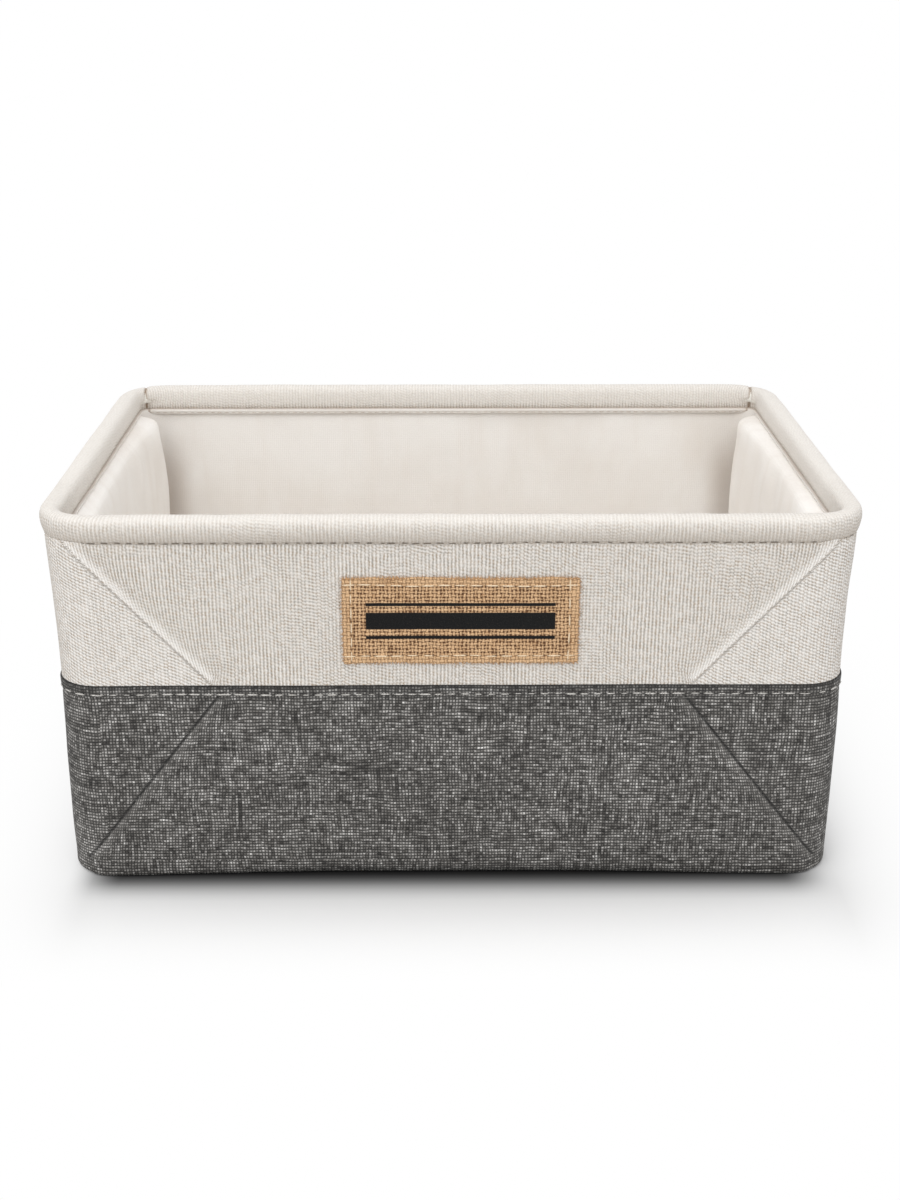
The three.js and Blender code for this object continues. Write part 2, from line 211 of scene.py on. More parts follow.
def ribbedCanvas(name, warmth=0.0, stitch=None):
    look, bench = canvasLook, Bench(name)
    uv, along, up = bench.cut()
    drift, tremble = bench.noise(uv, 38.0) - 0.5, bench.noise(uv, 420.0, 1.0) - 0.5
    count = along / look["ribPitch"] + drift * look["wander"] + tremble * 0.3
    order = count.floor()
    rib = 0.5 - 0.5 * (count * (2 * math.pi)).cosine()
    line, band, loose = creaseMarks(bench)
    rise = up / look["beadPitch"] + bench.cell(order) * (1.0 - 0.75 * loose) + order * 0.5 + drift * 1.2
    rise = rise + (count.fraction() - 0.5) * look["slant"]
    bead = 0.5 + 0.5 * (rise * (2 * math.pi)).cosine()
    uneven = bench.cell(order, (rise + 0.5).floor())
    patchy = bench.smooth(bench.noise(uv, 26.0, 3.0), 0.40, 0.66).most(loose)
    gap = ((1.0 - rib) ** 1.2) * (1.0 - bead * (0.30 + 0.50 * patchy)) + rib * (1.0 - bead) * (0.14 + 0.46 * patchy)
    gap = gap * (0.66 + 0.52 * uneven)
    # The weave is calmer on the side and back lengths of the roll and along its top
    _, y, z = bench.axes(bench.own())
    side = bench.smooth(y, -0.118, -0.06) * (0.58 + 0.16 * bench.fade(y, 0.106, 0.117))
    calm = (side * bench.smooth(z, 0.172, 0.176)).most(0.6 * bench.smooth(z, 0.1795, 0.1838))
    gap = gap * (1.0 - 0.42 * band) * (1.0 - calm)
    grain = bench.noise(uv, 1100.0)
    fleck = bench.speck(along * 420.0, up * 520.0)
    dark = bench.mix(bench.smooth(fleck, 0.40, 0.60), look["tan"], look["grey"])
    cloth = bench.mix(bench.smooth(grain, 0.35, 0.65) * 0.6, look["light"], look["shade"])
    # Lighter over the soft triangles' loose cloth, and along a crease's band as a painted highlight
    cloth = bench.mix(loose.most(band) * 0.8, cloth, look["loose"])
    colour = bench.mix(gap, cloth, dark)
    colour = bench.mix(bench.smooth(bench.noise(uv, 14.0, 3.0), 0.25, 0.75) * 0.10, colour, look["wide"])
    # Painted shade in a crease's fold
    colour = bench.mix(line * gap * 0.2, colour, look["line"])
    if warmth:
        colour = bench.mix(warmth, colour, look["warm"])
    height = (rib * (0.60 + 0.40 * bead)) * (1.0 - 0.45 * band) * (1.0 - 0.5 * calm) + grain * 0.22 + uneven * 0.12
    if stitch:
        # Needle holes along the roll's outer seam, each a little off the line. Their darkness, a dark line in the
        # stitched groove and the darker lower outer side of the roll above the seam are painted shade.
        order = (along / stitch["pitch"]).floor()
        size, low = bench.cell(order, 3.0), bench.cell(order, 8.0) - 0.5
        place = ((along / stitch["pitch"]).fraction() - 0.5 + (size - 0.5) * 0.35) * stitch["pitch"]
        off = (up - low * 0.0005 + place * low * 0.25).size()
        beyond = (place.size() - stitch["reach"] * (0.35 + size)).most(0.0)
        hole = bench.fade((off * off + beyond * beyond).maths("SQRT"), stitch["radius"] * 0.3, stitch["radius"])
        groove = bench.fade(up.size(), 0.0002, 0.0012)
        colour = bench.mix(bench.fade(up, 0.0, 0.0110) * 0.52, colour, look["seam"])
        colour = bench.mix(groove * 0.25, colour, look["groove"])
        colour = bench.mix(hole * (0.55 + 0.4 * uneven), colour, look["hole"])
        height = height - hole * 1.6 - groove * 0.5
    # Painted shade where the mesh marks it: in creases and joins and where the cloth goes in behind other parts
    colour = bench.mix(bench.given("shade"), colour, look["worn"])
    return bench.finish(colour, height, look["bumpDepth"], Roughness=0.92, Sheen_Weight=0.06)


# The band colour is a painted highlight along a crease, and the line and shade colours are painted shade
linenLook = {
    "warpPitch": 0.00148, "weftPitch": 0.00158, "fleckLength": 0.0095,
    "stops": [(0.0, (34, 32, 30)), (0.28, (74, 71, 68)), (0.50, (124, 121, 117)), (0.74, (188, 185, 181)),
              (1.0, (248, 246, 242))],
    "gap": (16, 15, 14), "band": (160, 157, 153), "line": (20, 19, 18), "shade": (24, 23, 22), "bumpDepth": 0.0005,
}


def heatheredLinen(name):
    look, bench = linenLook, Bench(name)
    uv, along, up = bench.cut()
    drift = bench.noise(uv, 45.0) - 0.5
    sway = bench.noise(bench.join(along, up, 0.7), 45.0) - 0.5
    tremble = bench.noise(uv, 300.0, 1.0) - 0.5
    warpCount = along / look["warpPitch"] + drift * 1.8 + tremble * 0.5
    weftCount = up / look["weftPitch"] + sway * 1.5 - tremble * 0.4
    warp, weft = warpCount.floor(), weftCount.floor()
    over = ((warp + weft) * 0.5).fraction() * 2.0
    uneven = bench.cell(warp, weft)
    warpShade = bench.speck(warp * 7.31, up / look["fleckLength"], 0.0, 3.0, 0.6)
    weftShade = bench.speck(along / look["fleckLength"], weft * 5.17, 9.0, 3.0, 0.6)
    region = bench.smooth(bench.speck(along * 60.0, up * 80.0, 2.0, 2.0), 0.40, 0.60)
    choice = 0.12 + 0.42 * region + 0.24 * over
    shade = warpShade * choice + weftShade * (1.0 - choice)
    fine = bench.noise(uv, 1300.0)
    slub = bench.smooth(bench.speck(along * 95.0, weft * 3.3, 3.0), 0.60, 0.70)
    slubUp = bench.smooth(bench.speck(warp * 3.7, up * 105.0, 5.0), 0.62, 0.72)
    darkUp = bench.smooth(bench.speck(warp * 9.7, up * 16.0, 12.0), 0.62, 0.72)
    darkAlong = bench.smooth(bench.speck(along * 14.0, weft * 8.3, 14.0), 0.62, 0.72)
    light = (shade - 0.5) * 1.40 + (fine - 0.5) * 0.45 + (uneven - 0.5) * 0.30
    light = light + slub * 0.20 * (1.0 - choice) + slubUp * 0.20 * choice
    light = light - darkUp.most(darkAlong) * 0.15
    cloudy = bench.noise(uv, 26.0, 3.0) - 0.5
    ramp = {"stops": [(place, tone(*colour)) for place, colour in look["stops"]]}
    colour = bench.add("ShaderNodeValToRGB", ramp, {0: light + cloudy * 0.14 + 0.54})
    warpRound, weftRound = (warpCount * math.pi).sine().size(), (weftCount * math.pi).sine().size()
    warpGap, weftGap = bench.fade(warpRound, 0.30, 0.96), bench.fade(weftRound, 0.30, 0.96)
    seam = (warpGap * (0.66 + 0.34 * choice)).most(weftGap * (1.0 - 0.20 * choice))
    line, band, _ = creaseMarks(bench)
    colour = bench.mix(seam * (0.86 + 0.12 * uneven), colour, look["gap"])
    # A painted highlight along a crease's band, and painted shade in its fold
    colour = bench.mix(band * 0.14, colour, look["band"])
    colour = bench.mix(line * (0.50 + 0.45 * uneven), colour, look["line"])
    # Painted shade where the mesh marks it
    colour = bench.mix(bench.given("shade"), colour, look["shade"])
    height = warpRound * choice + weftRound * (1.0 - choice) + slub * 0.4 + slubUp * 0.3 + uneven * 0.25 - line * 0.8
    return bench.finish(colour, height, look["bumpDepth"], Roughness=0.9, Sheen_Weight=0.05)


def liningCotton(name, light, shade):
    bench = Bench(name)
    uv, along, up = bench.cut()
    threads = (along * 5600.0).sine() * 0.5 + (up * 5600.0).sine() * 0.5
    fine = bench.noise(uv, 1500.0)
    streak = bench.speck(along * 90.0, up * 16.0, 0.0, 3.0)
    wide = bench.noise(uv, 16.0, 3.0)
    colour = bench.mix(bench.smooth(wide, 0.3, 0.7) * 0.9, light, shade)
    colour = bench.mix(bench.smooth(streak, 0.45, 0.75) * 0.25, colour, (232, 224, 215))
    colour = bench.mix(bench.smooth(fine, 0.4, 0.7) * 0.12, colour, (205, 194, 182))
    # Painted shade where the mesh marks it
    colour = bench.mix(bench.given("shade"), colour, canvasLook["worn"])
    return bench.finish(colour, threads * 0.35 + fine * 0.6, 0.00012, Roughness=0.88, Sheen_Weight=0.05)


patch = {
    "left": -0.050, "right": 0.058, "foot": 0.1127, "top": 0.1547, "thickness": 0.0009, "backLift": 0.00005,
    "border": 0.0006, "ragged": 0.00056, "curl": 0.0003, "swell": 0.00012, "pull": 0.00016, "frayLength": 0.0022,
    "stitchInset": (0.0039, 0.0034), "stripeEnds": (0.0105, 0.0975),
    "stripes": [(0.0120, 0.0136), (0.0168, 0.0252), (0.0284, 0.0300)],
    "weave": 0.00172, "bumpDepth": 0.0006,
    "yarn": (224, 186, 144), "yarnDark": (174, 133, 94), "hole": (106, 68, 38), "ink": (8, 8, 8),
}
patch["width"], patch["height"] = patch["right"] - patch["left"], patch["top"] - patch["foot"]


def printedBurlap(name):
    bench = Bench(name)
    uv, along, up = bench.cut()
    drift = bench.noise(uv, 190.0) - 0.5
    driftUp = bench.noise(bench.join(along, up, 0.4), 210.0) - 0.5
    warp, weft = along / patch["weave"] + drift * 0.9, up / patch["weave"] + driftUp * 0.9
    over = ((warp.floor() + weft.floor()) * 0.5).fraction() * 2.0
    warpWidth = bench.speck(warp.floor() * 3.7, up * 120.0)
    weftWidth = bench.speck(along * 120.0, weft.floor() * 4.3, 6.0)
    warpRound = (warp * math.pi).sine().size() + (warpWidth - 0.5) * 1.3
    weftRound = (weft * math.pi).sine().size() + (weftWidth - 0.5) * 1.3
    uneven = bench.cell((warp + 0.5).floor(), (weft + 0.5).floor()) - 0.5
    covered = warpRound.most(weftRound) + uneven * 0.40
    border = along.least(patch["width"] - along).least(up.least(patch["height"] - up))
    fuzz = bench.fade(border, 0.0024, 0.0044)
    hole = bench.fade(covered, 0.34, 0.82) * (1.0 - 0.8 * fuzz)
    fibre = bench.speck(along * 500.0, up * 2600.0, 0.0, 2.0)
    fibreUp = bench.speck(along * 2600.0, up * 500.0, 0.0, 2.0)
    strand = fibreUp * over + fibre * (1.0 - over)
    wide = bench.noise(uv, 120.0, 3.0)
    ridge = warpRound * over + weftRound * (1.0 - over)
    share = bench.smooth(strand * (0.45 + 0.2 * fuzz) + wide * 0.35 + (1.0 - ridge) * 0.35 - 0.16 * fuzz, 0.30, 0.72)
    colour = bench.mix(hole, bench.mix(share, patch["yarn"], patch["yarnDark"]), patch["hole"])
    inked = bench.between(up, *patch["stripes"][0])
    for stripe in patch["stripes"][1:]:
        inked = inked + bench.between(up, *stripe)
    ends = bench.between(along, *patch["stripeEnds"])
    worn = bench.smooth(strand, 0.25, 0.4)
    colour = bench.mix(inked * ends * (0.96 + 0.04 * worn), colour, patch["ink"])
    height = warpRound * over + weftRound * (1.0 - over) + strand * 0.5 - hole * 0.6
    return bench.finish(colour, height, patch["bumpDepth"], Roughness=1.0)


def plainThread(name, light, dark):
    bench = Bench(name)
    twist = bench.noise(bench.own(), 2600.0)
    colour = bench.mix(bench.smooth(twist, 0.35, 0.65), light, dark)
    return bench.finish(colour, twist, 0.0001, Roughness=0.85, Sheen_Weight=0.1)


def pressedBoard(name):
    bench = Bench(name)
    place = bench.own()
    fibre, wide = bench.noise(place, 700.0, 4.0, 0.65), bench.noise(place, 40.0, 3.0)
    colour = bench.mix(bench.smooth(fibre * 0.6 + wide * 0.4, 0.38, 0.62), (172, 158, 138), (140, 126, 106))
    return bench.finish(colour, fibre, 0.0002, Roughness=0.9)


def softFoam(name):
    bench = Bench(name)
    pores = bench.add("ShaderNodeTexVoronoi", {}, {"Vector": bench.own(), "Scale": 1500.0})
    colour = bench.mix(bench.smooth(pores, 0.1, 0.5), (222, 217, 205), (246, 244, 238))
    return bench.finish(colour, pores, 0.0003, Roughness=1.0)


def drawnWire(name):
    bench = Bench(name)
    scratch = bench.noise(bench.own(), 900.0, 3.0)
    colour = bench.mix(bench.smooth(scratch, 0.4, 0.7), (184, 186, 188), (150, 151, 152))
    return bench.finish(colour, scratch, 0.00005, Roughness=0.35, Metallic=1.0)


canvas = ribbedCanvas("creamRibbedCanvas")
rollCanvas = ribbedCanvas("rimRibbedCanvas", 0.25, rollStitch)
linen = heatheredLinen("greyHeatheredLinen")
cotton = liningCotton("warmWhiteLining", (246, 243, 239), (238, 233, 227))
# A lighter copy of the lining cotton for the short walls' linings: painted light for their more upright faces
paintedLightSideCotton = liningCotton("sideLiningCotton", (254, 251, 247), (246, 241, 235))
burlap = printedBurlap("stripedJuteBurlap")
creamThread = plainThread("creamThread", (236, 230, 222), (206, 197, 186))
liningThread = plainThread("liningThread", (226, 216, 206), (196, 184, 172))
greyThread = plainThread("greyThread", (222, 219, 214), (150, 147, 142))
paleThread = plainThread("paleJuteThread", (242, 224, 196), (216, 190, 156))
jute = plainThread("looseJute", (226, 184, 136), (176, 130, 84))
board, steel, foamLook = pressedBoard("pressedBoard"), drawnWire("drawnSteel"), softFoam("softFoam")
print("materials made")


# Mesh kit

def cloud(points, cell, seed):
    # Smooth noise from -1 to 1 at points, the same every run
    grid = np.asarray(points, float) / cell + seed * 17.13
    base = np.floor(grid).astype(np.int64)
    part = grid - base
    part = part * part * (3 - 2 * part)
    total = np.zeros(grid.shape[:-1])
    for corner in range(8):
        step = np.array([corner & 1, corner >> 1 & 1, corner >> 2 & 1])
        key = ((base + step) * np.array([73856093, 19349663, 83492791])).sum(-1)
        key = (key ^ (key >> 13)) * 1274126177
        value = ((key ^ (key >> 16)) & 0xffff) / 0x8000 - 1
        total += value * np.prod(np.where(step == 1, part, 1 - part), axis=-1)
    return total


def easeStep(value, low, high):
    share = np.clip((value - low) / (high - low), 0, 1)
    return share * share * (3 - 2 * share)


def dent(distance, width):
    return np.exp(-(distance / width) ** 2)


def spaced(start, end, step):
    return np.linspace(start, end, max(2, int(math.ceil(abs(end - start) / step)) + 1))


def lengthsAlong(points, axis=0):
    # The distance covered at each point of a line, or of each row of a grid
    steps = np.cumsum(np.linalg.norm(np.diff(points, axis=axis), axis=-1), axis=axis)
    return np.concatenate([np.zeros_like(np.take(steps, [0], axis)), steps], axis)


def gridNormals(points, closed=False):
    wide = np.concatenate([points[:, -2:-1], points, points[:, 1:2]], axis=1) if closed else points
    alongStep = np.gradient(wide, axis=1)[:, 1:-1] if closed else np.gradient(wide, axis=1)
    normal = np.cross(alongStep, np.gradient(points, axis=0))
    return normal / np.maximum(np.linalg.norm(normal, axis=-1, keepdims=True), 1e-12)


def addObject(name, data):
    made = bpy.data.objects.new(name, data)
    bpy.context.scene.collection.objects.link(made)
    return made


def clothMesh(name, face, back, uv, material, closed=False, mend=False, marks=None):
    # A closed piece of cloth from its face and back grids. In a closed run the last column repeats the first.
    rows, columns = face.shape[:2]
    across = columns - 1 if closed else columns
    points = np.concatenate([face[:, :across].reshape(-1, 3), back[:, :across].reshape(-1, 3)])
    cells = np.stack(np.meshgrid(np.arange(rows - 1), np.arange(columns - 1), indexing="ij"), -1)
    ring = (cells[..., None, :] + np.array([(0, 0), (0, 1), (1, 1), (1, 0)])).reshape(-1, 4, 2)
    row, column = rows // 2, columns // 2
    spanAlong = face[row, min(column + 1, columns - 1)] - face[row, column - 1]
    spanUp = face[min(row + 1, rows - 1), column] - face[max(row - 1, 0), column]
    if np.dot(np.cross(spanAlong, spanUp), face[row, column] - back[row, column]) < 0:
        ring = ring[:, ::-1]
    edges = [((r, c), (r, c + 1)) for r in (0, rows - 1) for c in range(columns - 1)]
    if not closed:
        edges += [((r, c), (r + 1, c)) for c in (0, columns - 1) for r in range(rows - 1)]
    first, second = np.array(edges).transpose(1, 0, 2)

    def index(pair, layer):
        return (layer * rows + pair[..., 0]) * across + pair[..., 1] % across

    faceLoops = index(ring, 0)
    rim = np.stack([index(first, 0), index(second, 0), index(second, 1), index(first, 1)], -1)
    rimPairs = np.stack([first, second, second, first], 1)
    # A border strip runs against the face's own direction along that border
    used = {pair for k in range(4) for pair in zip(faceLoops[:, k].tolist(), faceLoops[:, (k + 1) % 4].tolist())}
    turned = np.array([pair in used for pair in zip(*rim[:, :2].T.tolist())])
    rim[turned], rimPairs[turned] = rim[turned, ::-1], rimPairs[turned, ::-1]
    loops = np.concatenate([faceLoops, index(ring[:, ::-1], 1), rim])
    pairs = np.concatenate([ring, ring[:, ::-1], rimPairs])
    mesh = bpy.data.meshes.new(name)
    mesh.vertices.add(len(points))
    mesh.vertices.foreach_set("co", points.astype(np.float32).ravel())
    mesh.loops.add(loops.size)
    mesh.polygons.add(len(loops))
    mesh.loops.foreach_set("vertex_index", loops.astype(np.int32).ravel())
    mesh.polygons.foreach_set("loop_start", np.arange(0, loops.size, 4, dtype=np.int32))
    mesh.polygons.foreach_set("loop_total", np.full(len(loops), 4, np.int32))
    mesh.update(calc_edges=True)
    cut = uv[pairs[..., 0], pairs[..., 1]].astype(np.float32)
    mesh.uv_layers.new(name="cut").data.foreach_set("uv", cut.ravel())
    for label, values in (marks or {}).items():
        values = np.tile(np.broadcast_to(values, (rows, columns))[:, :across].ravel(), 2).astype(np.float32)
        mesh.attributes.new(label, "FLOAT", "POINT").data.foreach_set("value", values)
    mesh.validate()
    if mend:
        work = bmesh.new()
        work.from_mesh(mesh)
        bmesh.ops.remove_doubles(work, verts=work.verts, dist=2e-6)
        bmesh.ops.dissolve_degenerate(work, edges=work.edges, dist=1e-6)
        work.to_mesh(mesh)
        work.free()
    mesh.polygons.foreach_set("use_smooth", np.ones(len(mesh.polygons), bool))
    mesh.set_sharp_from_angle(angle=math.radians(48))
    mesh.materials.append(material)
    return addObject(name, mesh)


def settle(piece, slot, body=None, *stands):
    # The slot it would take its finish from, which is not used, the body it rides on and the nodes it stands for
    if stands:
        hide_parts(*stands)
    if body:
        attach(piece, body)


def declareCloth(face):
    # Its flat width, length and area, measured along the face
    width, length = lengthsAlong(face, 1)[:, -1].max(), lengthsAlong(face)[-1].max()
    first = np.cross(face[1:, :-1] - face[:-1, :-1], face[:-1, 1:] - face[:-1, :-1])
    second = np.cross(face[1:, 1:] - face[1:, :-1], face[1:, 1:] - face[:-1, 1:])
    area = sum(np.linalg.norm(half, axis=-1).sum() for half in (first, second)) / 2
    area = min(area, width * length)


def loopAt(run, halfX, halfY, arc):
    # Places on a loop of four sides and four corners that starts at the middle of the front: the centre that
    # the rounding turns about, and the outward direction, at each place along the run
    place = np.mod(np.asarray(run, float) + halfX, 4 * (halfX + halfY + arc))
    centre, outward = np.zeros((2, *place.shape, 3))
    edge = 0.0
    for side in range(4):
        angle = (side - 1) * math.pi / 2
        normal = np.array([math.cos(angle), math.sin(angle), 0])
        tangent = np.array([-normal[1], normal[0], 0])
        ahead, away = (halfX, halfY) if side % 2 == 0 else (halfY, halfX)
        on = (place >= edge) & (place < edge + 2 * ahead)
        centre[on] = normal * away + tangent * (place[on] - edge - ahead)[:, None]
        outward[on] = normal
        edge += 2 * ahead
        on = (place >= edge) & (place < edge + arc)
        turn = angle + (place[on] - edge) / arc * math.pi / 2
        centre[on] = normal * away + tangent * ahead
        outward[on] = np.stack([np.cos(turn), np.sin(turn), np.zeros(turn.shape)], -1)
        edge += arc
    return centre, outward


# Outer skin

skin = {
    "straightX": 0.1652, "straightY": 0.1052, "reach": 0.0248, "arc": 0.0314, "thickness": 0.0005,
    "heights": [0.0, 0.004, 0.010, 0.030, 0.060, 0.094, 0.101, 0.120, 0.140, 0.160, 0.173, 0.180],
    "insets": [0.0048, 0.0048, 0.0046, 0.0043, 0.0042, 0.0046, 0.0048, 0.0045, 0.0038, 0.0030, 0.0024, 0.0023],
    "baseTop": 0.009, "panelTop": 0.1664, "hemTop": 0.1716, "rimHinge": 0.1565, "step": 0.0026,
    "cornerKeep": 0.187,
}
creaseHeight = joints["front_crease"]["pos_m"][2]
apexX = joints["front_right_gusset_upper_crease"]["pos_m"][0]
levels = {
    "lower": {
        "sign": -1, "cloth": linen, "slot": "grey_linen", "span": (skin["baseTop"], creaseHeight), "crisp": 1.0,
        # The pressed diagonal on each long wall: (x, z) of two points, as seen on the front
        "diagonal": ((0.1100, 0.0942), (0.1730, 0.0130)), "corner": "root", "anchor": skin["baseTop"],
    },
    "upper": {
        "sign": 1, "cloth": canvas, "slot": "cream_canvas", "span": (creaseHeight, skin["panelTop"]), "crisp": 0.2,
        "diagonal": ((0.1137, 0.1037), (0.1740, 0.1700)), "corner": "rim", "anchor": skin["panelTop"],
    },
}
walls, longWalls = ("front", "right", "back", "left"), ("front", "back")
corners = ("front_right", "back_right", "back_left", "front_left")
quarterRun = skin["straightX"] + skin["arc"] + skin["straightY"]
skinRun = 4 * (skin["straightX"] + skin["straightY"] + skin["arc"])
wallRun = {wall: index * quarterRun for index, wall in enumerate(walls)}
wallHalf = {wall: skin["straightX" if wall in longWalls else "straightY"] for wall in walls}
cornerRuns = [start + skinRun / 2 * half for half in (0, 1)
              for start in (skin["straightX"], skin["straightX"] + skin["arc"] + 2 * skin["straightY"])]

fineHeights = np.arange(-0.01, 0.2, 0.0005)
kernel = np.exp(-(np.arange(-24, 25) / 9.0) ** 2)
roughInsets = np.pad(np.interp(fineHeights, skin["heights"], skin["insets"]), 24, mode="edge")
smoothInsets = np.convolve(roughInsets, kernel / kernel.sum(), mode="valid")


def skinLoop(run):
    return loopAt(run, skin["straightX"], skin["straightY"], skin["arc"])


def skinRadius(height):
    return skin["reach"] - np.interp(height, fineHeights, smoothInsets)


def lineDistance(points, level):
    # Distance from a pressed diagonal, above zero on the side of the board-backed panel
    (footX, footZ), (headX, headZ) = levels[level]["diagonal"]
    size = math.hypot(headX - footX, headZ - footZ)
    alongX, alongZ = (headX - footX) / size, (headZ - footZ) / size
    acrossX, acrossZ = (-alongZ, alongX) if alongZ > 0 else (alongZ, -alongX)
    x, z = np.abs(points[..., 0]) - footX, points[..., 2] - footZ
    return x * acrossX + z * acrossZ, x * alongX + z * alongZ


def onLong(outward):
    return easeStep(np.abs(outward[..., 1]), 0.25, 0.8)


def creaseShares(points, outward, level, fade=0.004):
    # The distance from a level's diagonals and how far they apply there
    distance, along = lineDistance(points, level)
    apply = easeStep(levels[level]["sign"] * (points[..., 2] - creaseHeight), 0.0, fade)
    return distance, apply * easeStep(along, -0.004, fade - 0.004) * onLong(outward)


def skinRelief(points, outward):
    # How far the cloth stands off its plain surface
    relief = 0.00042 * cloud(points, 0.052, 3) + 0.00016 * cloud(points, 0.017, 5)
    relief -= 0.00045 * dent(points[..., 2] - creaseHeight, 0.0011)
    relief -= 0.00030 * dent(points[..., 2] - skin["hemTop"], 0.0016)
    for level in levels:
        distance, apply = creaseShares(points, outward, level)
        step = 0.00050 * easeStep(distance, -0.0005, 0.0030) - 0.00050 * easeStep(distance, 0.004, 0.040)
        fold = -0.00028 * dent(distance + 0.0001, 0.00048)
        behind = -0.00012 * np.exp(-np.maximum(-distance, 0) / 0.012) * (1 - easeStep(distance, -0.0005, 0.0016))
        relief += apply * levels[level]["crisp"] * (step + fold + behind)
    return relief


def skinPoints(run, height, lift=0.0):
    centre, outward = skinLoop(run)
    plain = centre + outward * skinRadius(height)[..., None]
    plain[..., 2] = height
    return plain + outward * (skinRelief(plain, outward) + lift)[..., None], outward


def skinMarks(points, outward):
    # Signed distance from the nearest diagonal and how far it shows, for the cloths' crease marks
    low = points[..., 2] < creaseHeight
    lower, upper = creaseShares(points, outward, "lower", 0.0006), creaseShares(points, outward, "upper")
    distance, share = [np.where(low, *pair) for pair in zip(lower, upper)]
    return {"crease": np.clip(distance, -0.05, 0.05), "creaseShare": share}


def cutPlaces(run, height, marks, points):
    # Flat places on the cloth. Beside a diagonal the threads lean into it on the board's side.
    distance = marks["crease"]
    lean = 0.004 * np.exp(-np.maximum(distance, 0) / 0.006) * easeStep(distance, -0.0012, 0.0) * marks["creaseShare"]
    side = np.sign(points[..., 0]) * np.where(points[..., 1] < 0, 1.0, -1.0)
    return np.stack([run + side * lean, height], -1)


def panelEdge(height, level):
    # Half the width of a long wall's panel at a height, just short of its diagonals
    (footX, footZ), (headX, headZ) = levels[level]["diagonal"]
    seen = footX + (headX - footX) * (height - footZ) / (headZ - footZ)
    far = joints[f"front_right_gusset_{level}_crease"]["axis"]
    turned = apexX + np.abs(far[0] / far[2]) * (height - creaseHeight) * levels[level]["sign"]
    return np.clip(np.minimum(seen, turned) - 0.0018, apexX - 0.0065, skin["straightX"])


def panelGrid(wall, rows, edge, half):
    # Runs and heights of a wall's panel, with columns close together near the ends where the diagonals run
    reach = 0.011 / half
    ends = np.linspace(1 - reach, 1, 20)
    shares = [-ends[::-1], spaced(-(1 - reach), 1 - reach, skin["step"] / half)[1:-1], ends]
    return np.broadcast_arrays(wallRun[wall] + edge[:, None] * np.concatenate(shares)[None], rows[:, None])


def heightRows(low, high, marks=(), step=skin["step"]):
    # Heights from low to high, closer together near the marks
    near = [mark + np.array([-2.4, -1.6, -1.0, -0.5, 0, 0.5, 1.0, 1.6, 2.4]) * 0.001 for mark in marks]
    rows = [spaced(low, high, step), *(row[(row > low) & (row < high)] for row in near)]
    found = np.unique(np.round(np.concatenate(rows), 5))
    keep = [found[0]]
    for height in found[1:-1]:
        if height - keep[-1] > 0.0003 and found[-1] - height > 0.0003:
            keep.append(height)
    return np.array([*keep, found[-1]])


def tipHeight(level):
    # Where a diagonal meets the rounded corner
    heights = creaseHeight + levels[level]["sign"] * np.linspace(0, 0.09, 4000)
    return float(heights[np.argmax(panelEdge(heights, level) >= skin["straightX"] - 1e-6)])


def wallRows(level, low, high):
    # The rows that a wall's panel shares with the soft triangles beside it, one of them at their tips
    tip = tipHeight(level)
    rows = heightRows(low, high, (creaseHeight,), 0.0021)
    rows = rows[np.abs(rows - tip) > 0.0005]
    return np.sort(np.append(rows, tip)) if low < tip < high else rows


def gussetSides(wall):
    # The sides of a wall's soft triangles, with the sign of the run towards each from the wall's middle
    towards = {"front": 1, "back": -1}.get(wall)
    return [("left", -towards), ("right", towards)] if towards else []


def gussetGrid(level, wall, side, rows):
    # Runs and heights of the soft triangle beside a diagonal
    sign = levels[level]["sign"]
    heights = rows[(sign * (rows - creaseHeight) >= -1e-6) & (sign * (rows - tipHeight(level)) <= 1e-6)]
    edges = panelEdge(heights, level)[:, None]
    shares = np.concatenate([np.linspace(0, 0.13, 22), np.linspace(0.13, 1, 26)[1:]])
    across = edges + (skin["straightX"] - edges) * shares[None]
    return np.broadcast_arrays(wallRun[wall] + side * across, heights[:, None])


def blendCrease(piece, wall, sideName, level):
    # Bakes a piece's transform; the crease joint of its diagonal and the direction across it are found but not used
    name = f"{wall}_{sideName}_gusset_{level}"
    joint = joints[f"{name}_crease"]
    pos = np.array(joint["pos_m"])
    across = np.cross(joint["axis"], [0, 1, 0])
    across = across / np.linalg.norm(across) * np.sign(across[0] * pos[0])
    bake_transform(piece)


def blendUp(piece):
    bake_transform(piece)


def rideCorner(piece, level):
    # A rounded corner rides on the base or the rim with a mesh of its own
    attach(piece, levels[level]["corner"])
    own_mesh(piece)


def skinPiece(name, stands, run, height, level, held, rests, **shape):
    face, outward = skinPoints(run, height)
    marks = skinMarks(face, outward)
    uv = cutPlaces(run, height, marks, face)
    back = face - outward * skin["thickness"]
    piece = clothMesh(name, face, back, uv, levels[level]["cloth"], marks=marks, **shape)
    settle(piece, levels[level]["slot"], None, stands)
    declareCloth(face)
    return piece, face


